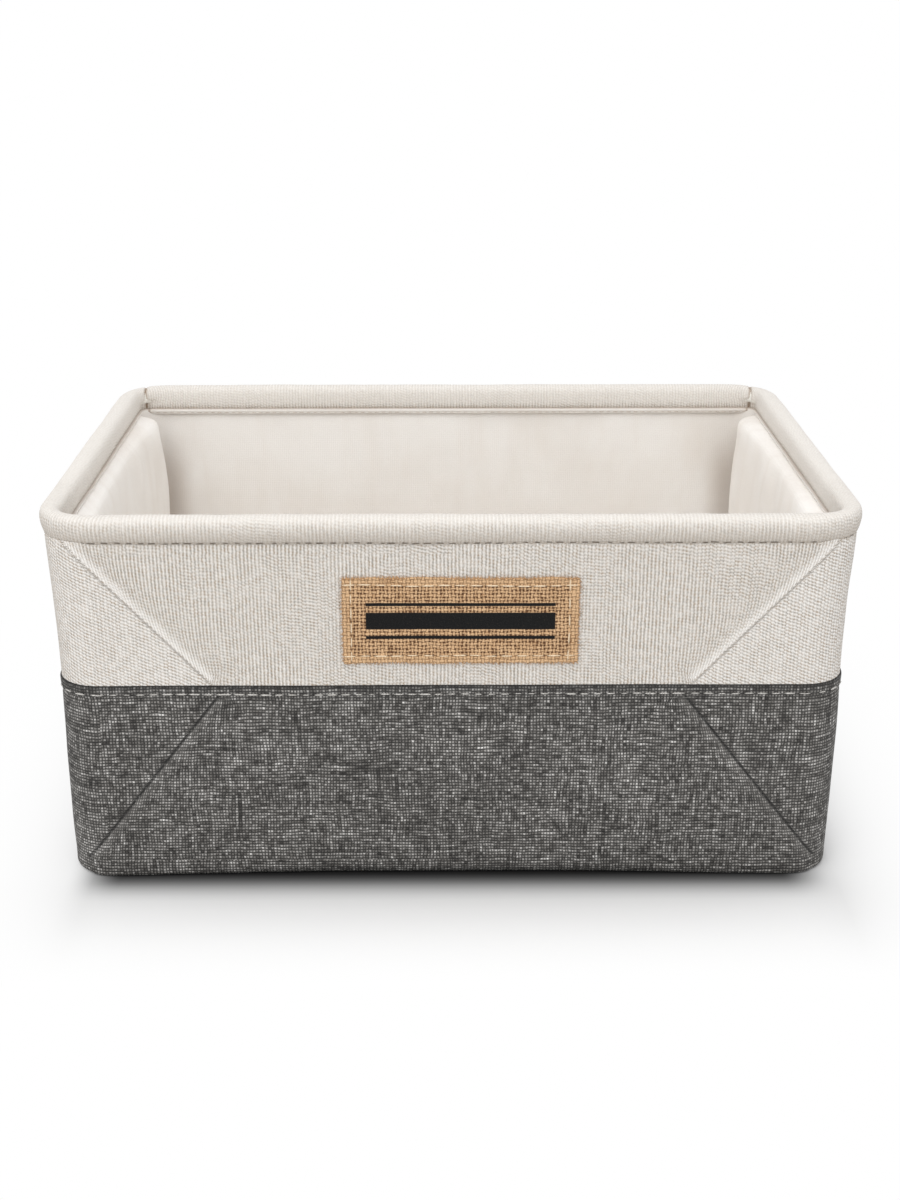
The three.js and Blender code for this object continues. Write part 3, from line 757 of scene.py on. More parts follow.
def buildSkins():
    for wall in walls:
        for level, look in levels.items():
            rows = wallRows(level, *look["span"])
            edge = panelEdge(rows, level) if wall in longWalls else np.full(rows.shape, wallHalf[wall])
            run, height = panelGrid(wall, rows, edge, wallHalf[wall])
            piece, face = skinPiece(f"{wall}_{level}_skin", f"{wall}_{level}_cover", run, height, level, "stretched",
                                    [f"{wall}_{level}_board"])
            if level == "lower":
                blendUp(piece)
            elif wall == "front":
                blendUp(piece)
            else:
                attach(piece, f"{wall}_upper")
    for wall in longWalls:
        for (sideName, side), level in itertools.product(gussetSides(wall), levels):
            name, rests = f"{wall}_{sideName}_gusset_{level}", [f"{wall}_{level}_skin"]
            run, height = gussetGrid(level, wall, side, wallRows(level, *levels[level]["span"]))
            piece, _ = skinPiece(f"{name}_skin", name, run, height, level, "folded", rests, mend=True)
            blendCrease(piece, wall, sideName, level)
    for corner, start in zip(corners, cornerRuns):
        for level, look in levels.items():
            rows = heightRows(*look["span"], (creaseHeight,), 0.0010)
            run, height = np.meshgrid(spaced(start, start + skin["arc"], 0.0008), rows)
            name = f"{corner}_corner_{level}"
            rests = [f"{corner.split('_')[0]}_{level}_board"]
            piece, _ = skinPiece(f"{name}_skin", name, run, height, level, "stretched", rests)
            rideCorner(piece, level)


buildSkins()
print("outer skin made")


# Grey hem over the colour seam

seamHem = {
    "heights": [0.09425, 0.0947, 0.0954, 0.0962, 0.0966, 0.0970, 0.0978, 0.0990, 0.1000, 0.1006, 0.1010, 0.1011],
    "lifts": [0.0, 0.00030, 0.00050, 0.00052, 0.00040, 0.00052, 0.00062, 0.00070, 0.00072, 0.00062, 0.00034, 0.0001],
    "backLift": -0.0002, "stitchHeight": 0.0967, "stitchLift": 0.00068,
}


def seamRuns(step, cornerStep, inset=0.0):
    # The stretches of the seam round the box: name, run, wall, and side where it crosses a soft triangle
    apex = float(panelEdge(np.array([creaseHeight + 0.0034]), "upper")[0])
    for wall in walls:
        half = (apex if wall in longWalls else wallHalf[wall]) - inset
        yield wall, wallRun[wall] + spaced(-half, half, step), wall, None
        for sideName, side in gussetSides(wall):
            run = wallRun[wall] + side * spaced(half + 2 * inset, skin["straightX"] - inset, step)
            yield f"{wall}_{sideName}_gusset", np.sort(run), wall, sideName
    for corner, start in zip(corners, cornerRuns):
        yield f"{corner}_corner", spaced(start + inset, start + skin["arc"] - inset, cornerStep), None, None


def rideSeam(piece, wall, sideName):
    if sideName:
        blendCrease(piece, wall, sideName, "upper")
    elif wall:
        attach(piece, f"{wall}_upper")
    else:
        rideCorner(piece, "upper")


def buildSeamHems():
    for name, columns, wall, sideName in seamRuns(0.0014, 0.0011):
        run, height = np.meshgrid(columns, seamHem["heights"])
        face, outward = skinPoints(run, height, np.repeat(np.array(seamHem["lifts"])[:, None], len(columns), 1))
        plain, _ = skinPoints(run, height)
        # The strip is darkened a little all over, with a painted shadow along its top where it meets the cream cloth
        shade = 0.20 + 0.75 * easeStep(height, 0.1002, 0.1008)
        shade = shade + 0.30 * easeStep(height, 0.0992, 0.1000) * (height < 0.1004)
        distance, _ = lineDistance(plain, "lower")
        share = (1 - easeStep(height, 0.0964, 0.0970)) * onLong(outward)
        marks = {"shade": np.minimum(shade, 0.95), "crease": np.clip(distance, -0.05, 0.05), "creaseShare": share}
        whole = wall and not sideName
        piece = clothMesh(f"{name}_seam_hem_strip" if whole else f"{name}_hem_strip", face,
                          plain + outward * seamHem["backLift"], np.stack([run, height], -1), linen, marks=marks)
        if whole:
            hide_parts(f"{wall}_seam_hem")
        rideSeam(piece, wall, sideName)


buildSeamHems()
print("colour seam made")


# Rim roll

roll = {
    "straight": (0.1480, 0.0880), "cornerCells": 90, "cell": 0.0017, "thickness": 0.0007, "centreHeight": 0.1785,
    # Half sizes and corner radii of the outer edge, the inner edge and the inner edge's underside
    "edges": [((0.190, 0.130), 0.029), ((0.179, 0.119), 0.012), ((0.179, 0.119), 0.005)],
    # The sewn roll's section from its outer stitch line over the top to its inner one: shares out, heights
    "section": [(0.62, -0.0071), (0.74, -0.0062), (0.90, -0.0038), (1.0, -0.0004), (0.93, 0.0025), (0.72, 0.0044),
                (0.38, 0.0053), (0.0, 0.0055), (-0.38, 0.0053), (-0.72, 0.0044), (-0.93, 0.0025), (-1.0, -0.0004),
                (-0.985, -0.0030), (-0.95, -0.0053), (-0.86, -0.0072), (-0.70, -0.0081)],
    "foamSection": [(0.30, -0.0046), (0.86, -0.0036), (1.0, 0.0), (0.70, 0.0042), (0.0, 0.0053), (-0.70, 0.0042),
                    (-1.0, 0.0), (-0.86, -0.0036), (-0.30, -0.0046)],
    "foamShare": 0.80, "boreShare": 0.52,
}


def evenly(line, places, count):
    # A line's points, spread evenly by their places along it
    place = np.linspace(0, places[-1], count)
    return np.stack([np.interp(place, places, line[:, k]) for k in (0, 1)], -1), place


def roundedCorner(half, radius):
    # One corner's outline, without its ends, from the plain front run to the plain right run
    turn = np.linspace(-math.pi / 2, 0, 40)
    arc = np.array([half[0] - radius, -(half[1] - radius)]) + radius * np.stack([np.cos(turn), np.sin(turn)], -1)
    path = np.concatenate([[[roll["straight"][0], -half[1]]], arc, [[half[0], -roll["straight"][1]]]])
    return evenly(path, lengthsAlong(path), roll["cornerCells"] + 1)[0][1:-1]


def rollStations():
    # The roll's edges at each station round the rim, and the run along it
    lines = []
    for half, radius in roll["edges"]:
        line = []
        for quarter, (cosine, sine) in enumerate([(1, 0), (0, 1), (-1, 0), (0, -1)]):
            along = roll["straight"][quarter % 2]
            steps = spaced(-along, along, roll["cell"])
            corner = roundedCorner(half, radius)
            corner = -corner[::-1, ::-1] if quarter % 2 else corner
            straight = np.stack([steps, np.full(len(steps), -half[(quarter + 1) % 2])], -1)
            x, y = np.concatenate([straight, corner]).T
            line.append(np.stack([x * cosine - y * sine, x * sine + y * cosine], -1))
        lines.append(np.concatenate([*line, line[0][:1]]))
    outer, inner, foot = lines
    return outer, inner, foot, lengthsAlong(outer * 0.75 + inner * 0.25)


def smoothLine(points, count):
    # A smooth line through section points, evenly spaced
    points = np.asarray(points, float)
    padded = np.concatenate([2 * points[:1] - points[1:2], points, 2 * points[-1:] - points[-2:-1]])
    found = []
    for k in range(1, len(padded) - 2):
        a, b, c, d = padded[k - 1:k + 3]
        for t in np.linspace(0, 1, 16, endpoint=False):
            found.append(0.5 * (2 * b + (c - a) * t + (2 * a - 5 * b + 4 * c - d) * t * t
                                + (3 * b - a - 3 * c + d) * t ** 3))
    found = np.array([*found, padded[-2]])
    return evenly(found, lengthsAlong(found * np.array([0.0055, 1.0])), count)


def sectionSweep(outer, inner, foot, profile, swell=1.0):
    # Points of a section carried round the rim, from shares of the half width and heights. The seam pulls
    # the underside into the inner corners.
    low = easeStep(-profile[:, 1], 0.0004, 0.0046)[:, None, None] * (swell == 1.0)
    inside = inner[None] * (1 - low) + foot[None] * low
    points = np.zeros((len(profile), len(outer), 3))
    points[..., :2] = (outer[None] + inside) / 2 + (outer[None] - inside) / 2 * profile[:, 0, None, None] * swell
    points[..., 2] = roll["centreHeight"] + profile[:, 1, None] * swell
    return points


def buildRoll():
    *edges, run = rollStations()
    profile, place = smoothLine(roll["section"], 40)
    face = sectionSweep(*edges, profile)
    normal = gridNormals(face, closed=True)
    # The sewn mitre across the roll at the two back corners, which runs from the inner corner to the back
    y = face[..., 1]
    across = np.abs(face[..., 0]) - 0.1757 - 0.12 * (y - 0.1150)
    on = easeStep(y, 0.110, 0.1125) * (1 - easeStep(y, 0.1215, 0.1255))
    relief = 0.00022 * cloud(face, 0.030, 11) + 0.00010 * cloud(face, 0.009, 12)
    relief -= (0.0010 * dent(across, 0.0006) + 0.0003 * np.exp(-np.abs(across) / 0.004)) * on
    # Painted shade: a dark line in the sewn mitre, and a band where the roll turns in to meet the binding
    turnedIn = easeStep(np.arange(len(profile)), len(profile) - 5.0, len(profile) - 1.0)[:, None]
    marks = {"shade": np.maximum(0.9 * dent(across, 0.0007) * on, 0.55 * turnedIn)}
    low = easeStep(-(face[..., 2] - roll["centreHeight"]), 0.002, 0.0068)
    relief -= 0.00012 * low * (0.5 + 0.5 * np.cos(2 * math.pi * (run / rollStitch["pitch"] - 0.5)))[None]
    normal = normal * np.sign(normal[20, 0] @ np.array([0, -1.0, 1.0]))
    face = face + normal * relief[..., None]
    uv = np.stack(np.broadcast_arrays(run[None], place[:, None] - 0.0006), -1)
    back = face - normal * roll["thickness"]
    piece = clothMesh("rim_roll_cover", face, back, uv, rollCanvas, closed=True, marks=marks)
    settle(piece, "cream_canvas", "rim", "rim_cover")

    foamRing, _ = smoothLine(roll["foamSection"], 22)
    foamFace, foamBack = [sectionSweep(*edges, foamRing, roll[share]) for share in ("foamShare", "boreShare")]
    foam = clothMesh("rim_foam", foamFace, foamBack, uv[:22], foamLook, closed=True)
    settle(foam, "foam", "rim", "rim_padding")
    declareCloth(face)


binding = {
    # Inset and height of each row
    "rows": [(0.0088, 0.1710), (0.0097, 0.1713), (0.0106, 0.1714), (0.0112, 0.1711), (0.01145, 0.1706),
             (0.01140, 0.1701), (0.0111, 0.1696), (0.0107, 0.1692), (0.01035, 0.1689), (0.01050, 0.1686),
             (0.0103, 0.1683), (0.0097, 0.1680), (0.0090, 0.1679)],
    "thickness": 0.0007, "knot": 0.1752, "halfX": 0.1745, "halfY": 0.1145, "arc": 0.0071, "reach": 0.0155,
    # Inset and height of the inner stitches, height and lift of the outer ones
    "stitch": (0.0105, 0.1690), "hemStitch": (0.1711, 0.00018),
    "hemRows": (0.1664, 0.1672, 0.1682, 0.1692, 0.1700, 0.1708, 0.1716, 0.1724),
}
bindingRun = 4 * (binding["halfX"] + binding["halfY"] + binding["arc"])


def bindingPoints(run, inset, height):
    centre, outward = loopAt(run, binding["halfX"], binding["halfY"], binding["arc"])
    points = centre + outward * np.asarray(binding["reach"] - inset)[..., None]
    points[..., 2] = height
    return points, outward


def buildRimBands():
    insets, heights = np.array(binding["rows"]).T
    run, height = np.meshgrid(np.linspace(0, bindingRun, 1100), heights)
    face, outward = bindingPoints(run, insets[:, None], height)
    face -= outward * (0.00025 * cloud(face, 0.012, 21))[..., None]
    # Painted shade at the knot in each back corner and along the band's top and bottom edges
    knot = dent(np.abs(face[..., 0]) - binding["knot"], 0.0005) * easeStep(face[..., 1], 0.108, 0.110)
    edges = np.maximum(easeStep(height, 0.1707, 0.1712), 1 - easeStep(height, 0.1679, 0.1684))
    piece = clothMesh("rim_inner_binding", face, face + outward * binding["thickness"], np.stack([run, height], -1),
                      cotton, closed=True, marks={"shade": np.maximum(0.8 * knot, 0.45 * edges)})
    settle(piece, "lining", "rim")
    run, height = np.meshgrid(np.linspace(0, skinRun, 800), binding["hemRows"])
    hem, _ = skinPiece("rim_outer_hem", "rim_hem", run, height, "upper", "stretched", [], closed=True)
    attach(hem, "rim")


buildRoll()
buildRimBands()
print("rim made")


# Linings

lining = {
    "inset": 0.0078, "thickness": 0.0005, "top": 0.1702, "longFoot": 0.0102, "sideFoot": 0.0224,
    "drop": (0.0112, 0.0013), "belly": (0.0062, 0.011), "curl": 0.0026, "keep": 0.12, "halfY": 0.1052,
    "flare": 0.0085, "waves": 2.1, "tail": 0.0005, "tapeLift": 0.0003, "tapeHalf": (0.104, 0.008),
}


def liningWaves(points, amount=1.0):
    tall = points * np.array([1.0, 1.0, 0.32])
    return amount * (0.00075 * cloud(tall, 0.026, 31) + 0.0005 * cloud(tall, 0.011, 33))


def liningPiece(name, run, height, mend=False):
    centre, outward = skinLoop(run)
    face = centre + outward * (skin["reach"] - lining["inset"])
    face[..., 2] = height
    calm = easeStep(lining["top"] - height, 0.0, 0.01) * easeStep(height, 0.004, 0.03)
    face = face - outward * (np.maximum(liningWaves(face) + 0.0004, -0.0002) * calm)[..., None]
    # Painted shade where it goes in behind the short walls' linings
    shade = 0.34 * easeStep(np.abs(face[..., 0]), 0.150, 0.165) * (1 - easeStep(height, 0.128, 0.160))
    piece = clothMesh(name, face, face + outward * lining["thickness"], np.stack([run, height], -1), cotton,
                      mend=mend, marks={"shade": shade})
    return piece, face


def buildLongLinings():
    spans = {"lower": (lining["longFoot"], creaseHeight), "upper": (creaseHeight, lining["top"])}
    rows = np.unique(np.round(np.concatenate([wallRows(level, *span) for level, span in spans.items()]), 7))
    edge = np.where(rows < creaseHeight, panelEdge(rows, "lower"), panelEdge(rows, "upper"))
    for wall in longWalls:
        piece, face = liningPiece(f"{wall}_lining", *panelGrid(wall, rows, edge, skin["straightX"]))
        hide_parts(f"{wall}_lower_lining", f"{wall}_upper_lining")
        blendUp(piece)
        declareCloth(face)
        for (sideName, side), level in itertools.product(gussetSides(wall), levels):
            name = f"{wall}_{sideName}_gusset_{level}_lining"
            piece, _ = liningPiece(name, *gussetGrid(level, wall, side, rows), mend=True)
            blendCrease(piece, wall, sideName, level)


def sideBulge(height, share):
    # How far a short wall's lining stands in from its board
    below = np.maximum(lining["top"] - 0.0011 - height, 0)
    hang = sum(size * (1 - np.exp(-below / fall)) for size, fall in (lining["drop"], lining["belly"]))
    return 0.0008 + hang * easeStep(height, 0.030, 0.105) * (0.62 + 0.38 * share ** 2)


def sideLiningGrid(level):
    # Depths, places and heights of a short wall's lining, whose upright ends curl back behind it
    span = (lining["sideFoot"], creaseHeight) if level == "lower" else (creaseHeight, lining["top"])
    rows = heightRows(*span, (lining["top"] - 0.0032,), 0.0022)
    shares, curl = np.linspace(-1, 1, 72), np.linspace(0, math.pi / 2, 8)[1:]
    points = []
    for height, end in zip(rows, lining["halfY"] + lining["flare"] * easeStep(rows, 0.158, 0.1700)):
        bulge = sideBulge(height, shares)
        radius = min(lining["curl"], bulge[-1] * 0.8 + 0.0004)
        tailY = np.array([*(end - radius + radius * np.sin(curl)), end, end + 0.0002])
        tail = [*(bulge[-1] - radius * (1 - np.cos(curl))), (bulge[-1] - radius) * 0.5, lining["tail"]]
        depth, y = [*tail[::-1], *bulge, *tail], [*-tailY[::-1], *(shares * (end - radius)), *tailY]
        points.append(np.stack([depth, y, np.full(len(y), height)], -1))
    return np.array(points)


def buildSideLinings():
    faceX = abs(joints["left_fold"]["pos_m"][0])
    for wall, sign in (("left", -1), ("right", 1)):
        for level in levels:
            grid = sideLiningGrid(level)
            wave = liningWaves(grid + np.array([sign * 0.5, 0, 0]), lining["waves"])
            wave *= easeStep(lining["top"] - grid[..., 2], 0.0, 0.02) * easeStep(grid[..., 0], 0.001, 0.006)
            face = np.stack([sign * (faceX - grid[..., 0] - wave), grid[..., 1], grid[..., 2]], -1)[:, ::-sign]
            normal = gridNormals(face)
            normal *= np.sign(normal[2, normal.shape[1] // 2] @ np.array([-sign, 0.0, 0.0]))
            uv = np.stack([lengthsAlong(face, 1) + wallRun[wall], face[..., 2]], -1)
            ends = np.minimum(np.arange(face.shape[1]), np.arange(face.shape[1])[::-1])
            # Painted shade along the upright ends, where they curl back behind the lining
            shade = 0.40 * (1 - easeStep(ends, 5.0, 9.0))[None] * easeStep(np.abs(face[..., 0]), 0.1, 0.15)
            piece = clothMesh(f"{wall}_{level}_lining_cloth", face, face - normal * lining["thickness"], uv, paintedLightSideCotton,
                              marks={"shade": shade})
            settle(piece, "lining", f"{wall}_{level}", f"{wall}_{level}_lining")
            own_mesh(piece)
            declareCloth(face)
        # A tape under the linings covers the crease between the boards
        halfY, tall = lining["tapeHalf"]
        rows = heightRows(creaseHeight - tall, creaseHeight + tall, (creaseHeight,), 0.001)
        y, height = np.meshgrid(np.linspace(-halfY, halfY, 60), rows)
        lift = lining["tapeLift"]
        face = np.stack([np.full(y.shape, sign * (faceX - lift)), y * sign, height], -1)
        piece = clothMesh(f"{wall}_crease_tape", face, face + np.array([sign * lift, 0, 0]),
                          np.stack([y, height], -1), cotton)
        blendUp(piece)


def buildCornerLinings():
    for corner, start in zip(corners, cornerRuns):
        for level, span in (("lower", (skin["baseTop"], creaseHeight)), ("upper", (creaseHeight, lining["top"]))):
            run, height = np.meshgrid(spaced(start, start + skin["arc"], 0.0016), heightRows(*span, (), 0.003))
            piece, _ = liningPiece(f"{corner}_corner_{level}_lining", run, height)
            rideCorner(piece, level)


buildLongLinings()
buildSideLinings()
buildCornerLinings()
print("linings made")


# Base and loose insert

base = {
    "roundUp": (0.0024, 0.0080), "roundIn": (0.0024, 0.0064), "thickness": 0.0007, "middle": 0.1250, "run": 0.1200,
    "liningTop": 0.0040, "liningRound": 0.0022, "liningThickness": 0.0004, "point": 0.0004,
}


def shrunkLoop(run, radius, inward):
    # The wall's outline drawn in by a distance, which sharpens once the distance passes its rounding
    left = np.maximum(radius - inward, base["point"])
    over = np.maximum(inward - (radius - base["point"]), 0)
    centre, outward = skinLoop(run)
    points = centre + outward * np.reshape(left, (-1, 1))
    for axis in (0, 1):
        points[..., axis] -= np.sign(points[..., axis]) * np.minimum(over, np.abs(points[..., axis]))
    return points


def floorCloth(name, stands, slot, material, run, face, up, flatRow, angles, thickness):
    # A floor's cloth from its rows of points. Its first rows stand up or turn in at these angles, and its flat
    # places are those on the floor from one row on.
    _, outward = skinLoop(run)
    away = np.zeros(face.shape)
    away[..., 2] = 1.0
    for row, angle in enumerate(angles):
        away[row] = -outward * math.cos(angle)
        away[row, :, 2] = math.sin(angle)
    uv = np.stack(np.broadcast_arrays(run[None], up), -1).copy()
    uv[flatRow:] = face[flatRow:, :, :2]
    piece = clothMesh(name, face, face + away * thickness, uv, material, closed=True, mend=True)
    settle(piece, slot, "root", stands)


def buildBase():
    run = np.linspace(0, 4 * quarterRun, 640)
    centre, outward = skinLoop(run)
    # The lower edge is rounder towards the middle of each wall, where nothing holds it down
    level = np.where(np.abs(outward[:, 1]) > np.abs(outward[:, 0]), np.abs(centre[:, 0]) / skin["straightX"],
                     np.abs(centre[:, 1]) / skin["straightY"])
    slack = 1 - easeStep(level, 0.25, 1.0)
    roundUp, roundIn = [low + (high - low) * slack for low, high in (base["roundUp"], base["roundIn"])]
    top, _ = skinPoints(run, np.full(run.shape, skin["baseTop"]))
    angles = np.linspace(0, math.pi / 2, 12)
    face = [top]
    for angle in angles:
        face.append(top - outward * (roundIn * (1 - math.cos(angle)))[:, None])
        face[-1][:, 2] = roundUp * (1 - math.sin(angle))
    for step in np.concatenate([np.linspace(0.003, 0.020, 8), np.linspace(0.026, base["run"], 16)]):
        inward = roundIn + step * (base["middle"] - roundIn) / base["run"]
        face.append(shrunkLoop(run, skinRadius(skin["baseTop"]), inward))
        face[-1][:, 2] = 0.00030 * easeStep(step, 0.006, 0.010)
    face = np.array(face)
    face[-1, :, 1] = 0.0
    floorCloth("base_skin", "base_cover", "grey_linen", linen, run, face, skin["baseTop"] - lengthsAlong(face),
               len(angles) + 1, [0, *angles], base["thickness"])

    # Inside: the floor cloth with a sewn upstand that meets the linings' feet
    foot, bend = base["liningTop"], base["liningRound"]
    sideShare = easeStep(np.abs(outward[:, 0]), 0.05, 0.95)
    top = lining["longFoot"] + (lining["sideFoot"] - lining["longFoot"]) * sideShare
    reach = skin["reach"] - lining["inset"]
    shares, turns = np.linspace(1, 0, 8), np.linspace(0, math.pi / 2, 6)[1:]
    angles = [*np.zeros(8), *turns]
    face = []
    for share, angle in zip([*shares, *np.zeros(5)], angles):
        points = centre + outward * (reach + 0.0002 - bend * (1 - math.cos(angle)))
        points[:, 2] = foot + bend * (1 - math.sin(angle)) + (top - foot - bend) * share
        face.append(points)
    for inward in np.linspace(0.006, base["middle"], 26):
        points = shrunkLoop(run, reach, inward)
        points[:, 2] = foot + 0.00015 * cloud(points, 0.03, 41)
        face.append(points)
    face = np.array(face)
    face[-1, :, 1] = 0.0
    floorCloth("base_lining_cloth", "base_lining", "lining", cotton, run, face, face[..., 2], len(shares), angles,
               -base["liningThickness"])


insert = {
    "halfX": 0.1755, "halfY": 0.1155, "corner": 0.014, "foot": 0.0043, "top": 0.0088, "thickness": 0.0005,
    "ends": [0.0, 0.0002, 0.0006, 0.0012, 0.0020, 0.0030, 0.0045, 0.0065, 0.009, 0.012], "rounding": 0.0026,
    "middle": 0.160, "backStep": 0.0004,
}


def insertRing(x, inset):
    # A flat ring of the sleeve's section at a place along it
    corner, fromEnd = insert["corner"], insert["halfX"] - abs(x)
    cut = corner - math.sqrt(max(corner ** 2 - max(corner - fromEnd, 0) ** 2, 0))
    halfZ = (insert["top"] - insert["foot"]) / 2 - inset
    if x > 0:
        halfZ *= math.sqrt(max(1 - max(1 - fromEnd / insert["rounding"], 0) ** 2, 0))
    flat = insert["halfY"] - cut - inset - halfZ
    side = np.linspace(-math.pi / 2, math.pi / 2, 9)
    across = np.concatenate([flat + halfZ * np.cos(side), np.linspace(flat, -flat, 40)[1:-1]])
    rise = halfZ * np.concatenate([np.sin(side), np.ones(38)])
    y, z = np.concatenate([across, -across]), np.concatenate([rise, -rise]) + (insert["top"] + insert["foot"]) / 2
    points = np.stack([np.full(len(y), x), y, z], -1)
    return np.concatenate([points, points[:1]])


def buildInsert():
    ends = insert["halfX"] - np.array(insert["ends"])
    places = np.concatenate([-ends[3:], np.linspace(-insert["middle"], insert["middle"], 60), ends[::-1]])
    face = np.array([insertRing(x, 0.0) for x in places])
    backPlaces = places - insert["backStep"] * (places > 0.17)
    back = np.array([insertRing(x, insert["thickness"]) for x in backPlaces])
    soft = 0.00022 * cloud(face, 0.034, 51) * easeStep(0.170 - np.abs(face[..., 0]), 0, 0.01)
    face[..., 2] += np.minimum(soft, 0.0002) * (face[..., 2] > 0.0078)
    uv = np.stack([lengthsAlong(face, 1), face[..., 0]], -1)
    piece = clothMesh("insert_sleeve", face, back, uv, cotton, closed=True, mend=True)
    settle(piece, "lining", "insert", "insert_cover")


buildBase()
buildInsert()
print("base and insert made")


# Patch

def buildPatch():
    places = []
    for start, size, count in (("left", "width", 78), ("foot", "height", 32)):
        inner = np.linspace(patch["border"], patch[size] - patch["border"], count)
        places.append(np.array([0, *inner, patch[size]]) + patch[start])
    x, z = np.meshgrid(*places)
    flat = np.stack([x, np.zeros(x.shape), z], -1)
    edgeX = np.minimum(x - patch["left"], patch["right"] - x)
    edgeZ = np.minimum(z - patch["foot"], patch["top"] - z)
    x = x + patch["ragged"] * cloud(flat, 0.006, 61) * (1 - easeStep(edgeX, 0, 0.004))
    z = z + patch["ragged"] * cloud(flat, 0.006, 62) * (1 - easeStep(edgeZ, 0, 0.004))
    curl = patch["curl"] * np.maximum(cloud(flat, 0.014, 63), 0) * (1 - easeStep(np.minimum(edgeX, edgeZ), 0, 0.005))
    insetX, insetZ = patch["stitchInset"]
    seam = np.minimum(np.abs(edgeX - insetX) + 10 * (edgeZ < insetZ - 0.001),
                      np.abs(edgeZ - insetZ) + 10 * (edgeX < insetX - 0.001))
    lift = patch["thickness"] + patch["swell"] * cloud(flat, 0.010, 64) + curl - patch["pull"] * dent(seam, 0.0009)
    face, _ = skinPoints(x, z, lift)
    back, _ = skinPoints(x, z, patch["backLift"])
    uv = np.stack([x - patch["left"], z - patch["foot"]], -1)
    piece = clothMesh("front_label_patch", face, back, uv, burlap)
    settle(piece, "burlap", "front_upper", "label_patch")
    declareCloth(face)


buildPatch()
print("patch made")


# Stitches and frayed edges

threadInputs = {"Pitch": "Float", "Length": "Float", "Thickness": "Float", "Unevenness": "Float", "Seed": "Int",
                "Thread": "Material"}
sewing = {
    # The values of those inputs for each kind of thread
    "hem": (0.0062, 0.0046, 0.00064, 0.36, 0, greyThread),
    "rimInner": (0.0040, 0.0030, 0.00042, 0.12, 7, liningThread),
    "rimOuter": (0.0052, 0.0036, 0.00040, 0.12, 8, creamThread),
    "patch": (0.0071, 0.0064, 0.00072, 0.16, 9, paleThread),
    "fray": (0.00030, patch["frayLength"] * 2, 0.00034, 0.0, 20, jute),
}


def threadTree(name, loose=False):
    # A thread on every point of a resampled line, facing out. It lies along the line, or stands out from it at
    # a random angle where it is loose.
    tree = bpy.data.node_groups.new(name, "GeometryNodeTree")
    for label, kind in {"Geometry": "Geometry", **threadInputs}.items():
        tree.interface.new_socket(label, in_out="INPUT", socket_type=f"NodeSocket{kind}")
    tree.interface.new_socket("Geometry", in_out="OUTPUT", socket_type="NodeSocketGeometry")
    bench = Bench(name, tree)
    given = {socket.name: Wire(bench, socket) for socket in tree.nodes.new("NodeGroupInput").outputs}

    def carried(label):
        return bench.add("GeometryNodeInputNamedAttribute", {"data_type": "FLOAT_VECTOR"}, {"Name": label}, "Attribute")

    line = bench.add("GeometryNodeMeshToCurve", {}, {0: given["Geometry"]})
    spread = bench.add("GeometryNodeResampleCurve", {"mode": "LENGTH"}, {"Curve": line, "Length": given["Pitch"]})
    ahead = carried("away") if loose else bench.add("GeometryNodeInputTangent")
    turn = bench.add("FunctionNodeAxesToRotation", {"primary_axis": "X", "secondary_axis": "Z"},
                     {0: ahead, 1: carried("facing")})
    if loose:
        swing = bench.add("FunctionNodeRandomValue", {"data_type": "FLOAT_VECTOR"},
                          {0: (-0.2, -0.5, -0.9), 1: (0.2, 0.25, 0.9), "Seed": given["Seed"]})
        turn = bench.add("FunctionNodeRotateRotation", {"rotation_space": "LOCAL"}, {0: turn, 1: swing})
    low, high = (0.35, 1.15) if loose else (1.0 - given["Unevenness"], 1.0 + given["Unevenness"])
    share = bench.add("FunctionNodeRandomValue", {"data_type": "FLOAT"}, {2: low, 3: high, "Seed": given["Seed"]}, 1)
    size = bench.join(given["Length"], given["Thickness"], given["Thickness"])
    size = bench.add("ShaderNodeVectorMath", {"operation": "SCALE"}, {0: size, "Scale": share})
    segments, rings = (4, 3) if loose else (6, 5)
    ball = bench.add("GeometryNodeMeshUVSphere", {}, {"Segments": segments, "Rings": rings, "Radius": 0.5})
    placed = bench.add("GeometryNodeInstanceOnPoints", {},
                       {"Points": spread, "Instance": ball, "Rotation": turn, "Scale": size})
    real = bench.add("GeometryNodeRealizeInstances", {}, {0: placed})
    dressed = bench.add("GeometryNodeSetMaterial", {}, {"Geometry": real, "Material": given["Thread"]})
    bench.link(dressed, tree.nodes.new("NodeGroupOutput").inputs[0])
    return tree


sewnThread, looseThread = threadTree("stitchRun"), threadTree("frayedEdge", True)


def growThreads(name, kind, points, extraSeed=0, ringed=False, **directions):
    # Runs a tree on a line of points, which faces one way and may lead away another, and leaves a plain mesh
    count = len(points)
    mesh = bpy.data.meshes.new(name)
    mesh.from_pydata(points.tolist(), [(k, (k + 1) % count) for k in range(count if ringed else count - 1)], [])
    for label, vectors in directions.items():
        layer = mesh.attributes.new(label, "FLOAT_VECTOR", "POINT")
        layer.data.foreach_set("vector", np.asarray(vectors, np.float32).ravel())
    piece = addObject(name, mesh)
    modifier = piece.modifiers.new("grow", "NODES")
    modifier.node_group = looseThread if "away" in directions else sewnThread
    values = dict(zip(threadInputs, sewing[kind]))
    values["Seed"] += extraSeed
    for item in modifier.node_group.interface.items_tree:
        if item.name in values:
            modifier[item.identifier] = values[item.name]
    graph = bpy.context.evaluated_depsgraph_get()
    made = bpy.data.meshes.new_from_object(piece.evaluated_get(graph))
    piece.modifiers.clear()
    piece.data = made
    made.name = name
    made.polygons.foreach_set("use_smooth", np.ones(len(made.polygons), bool))
    return piece


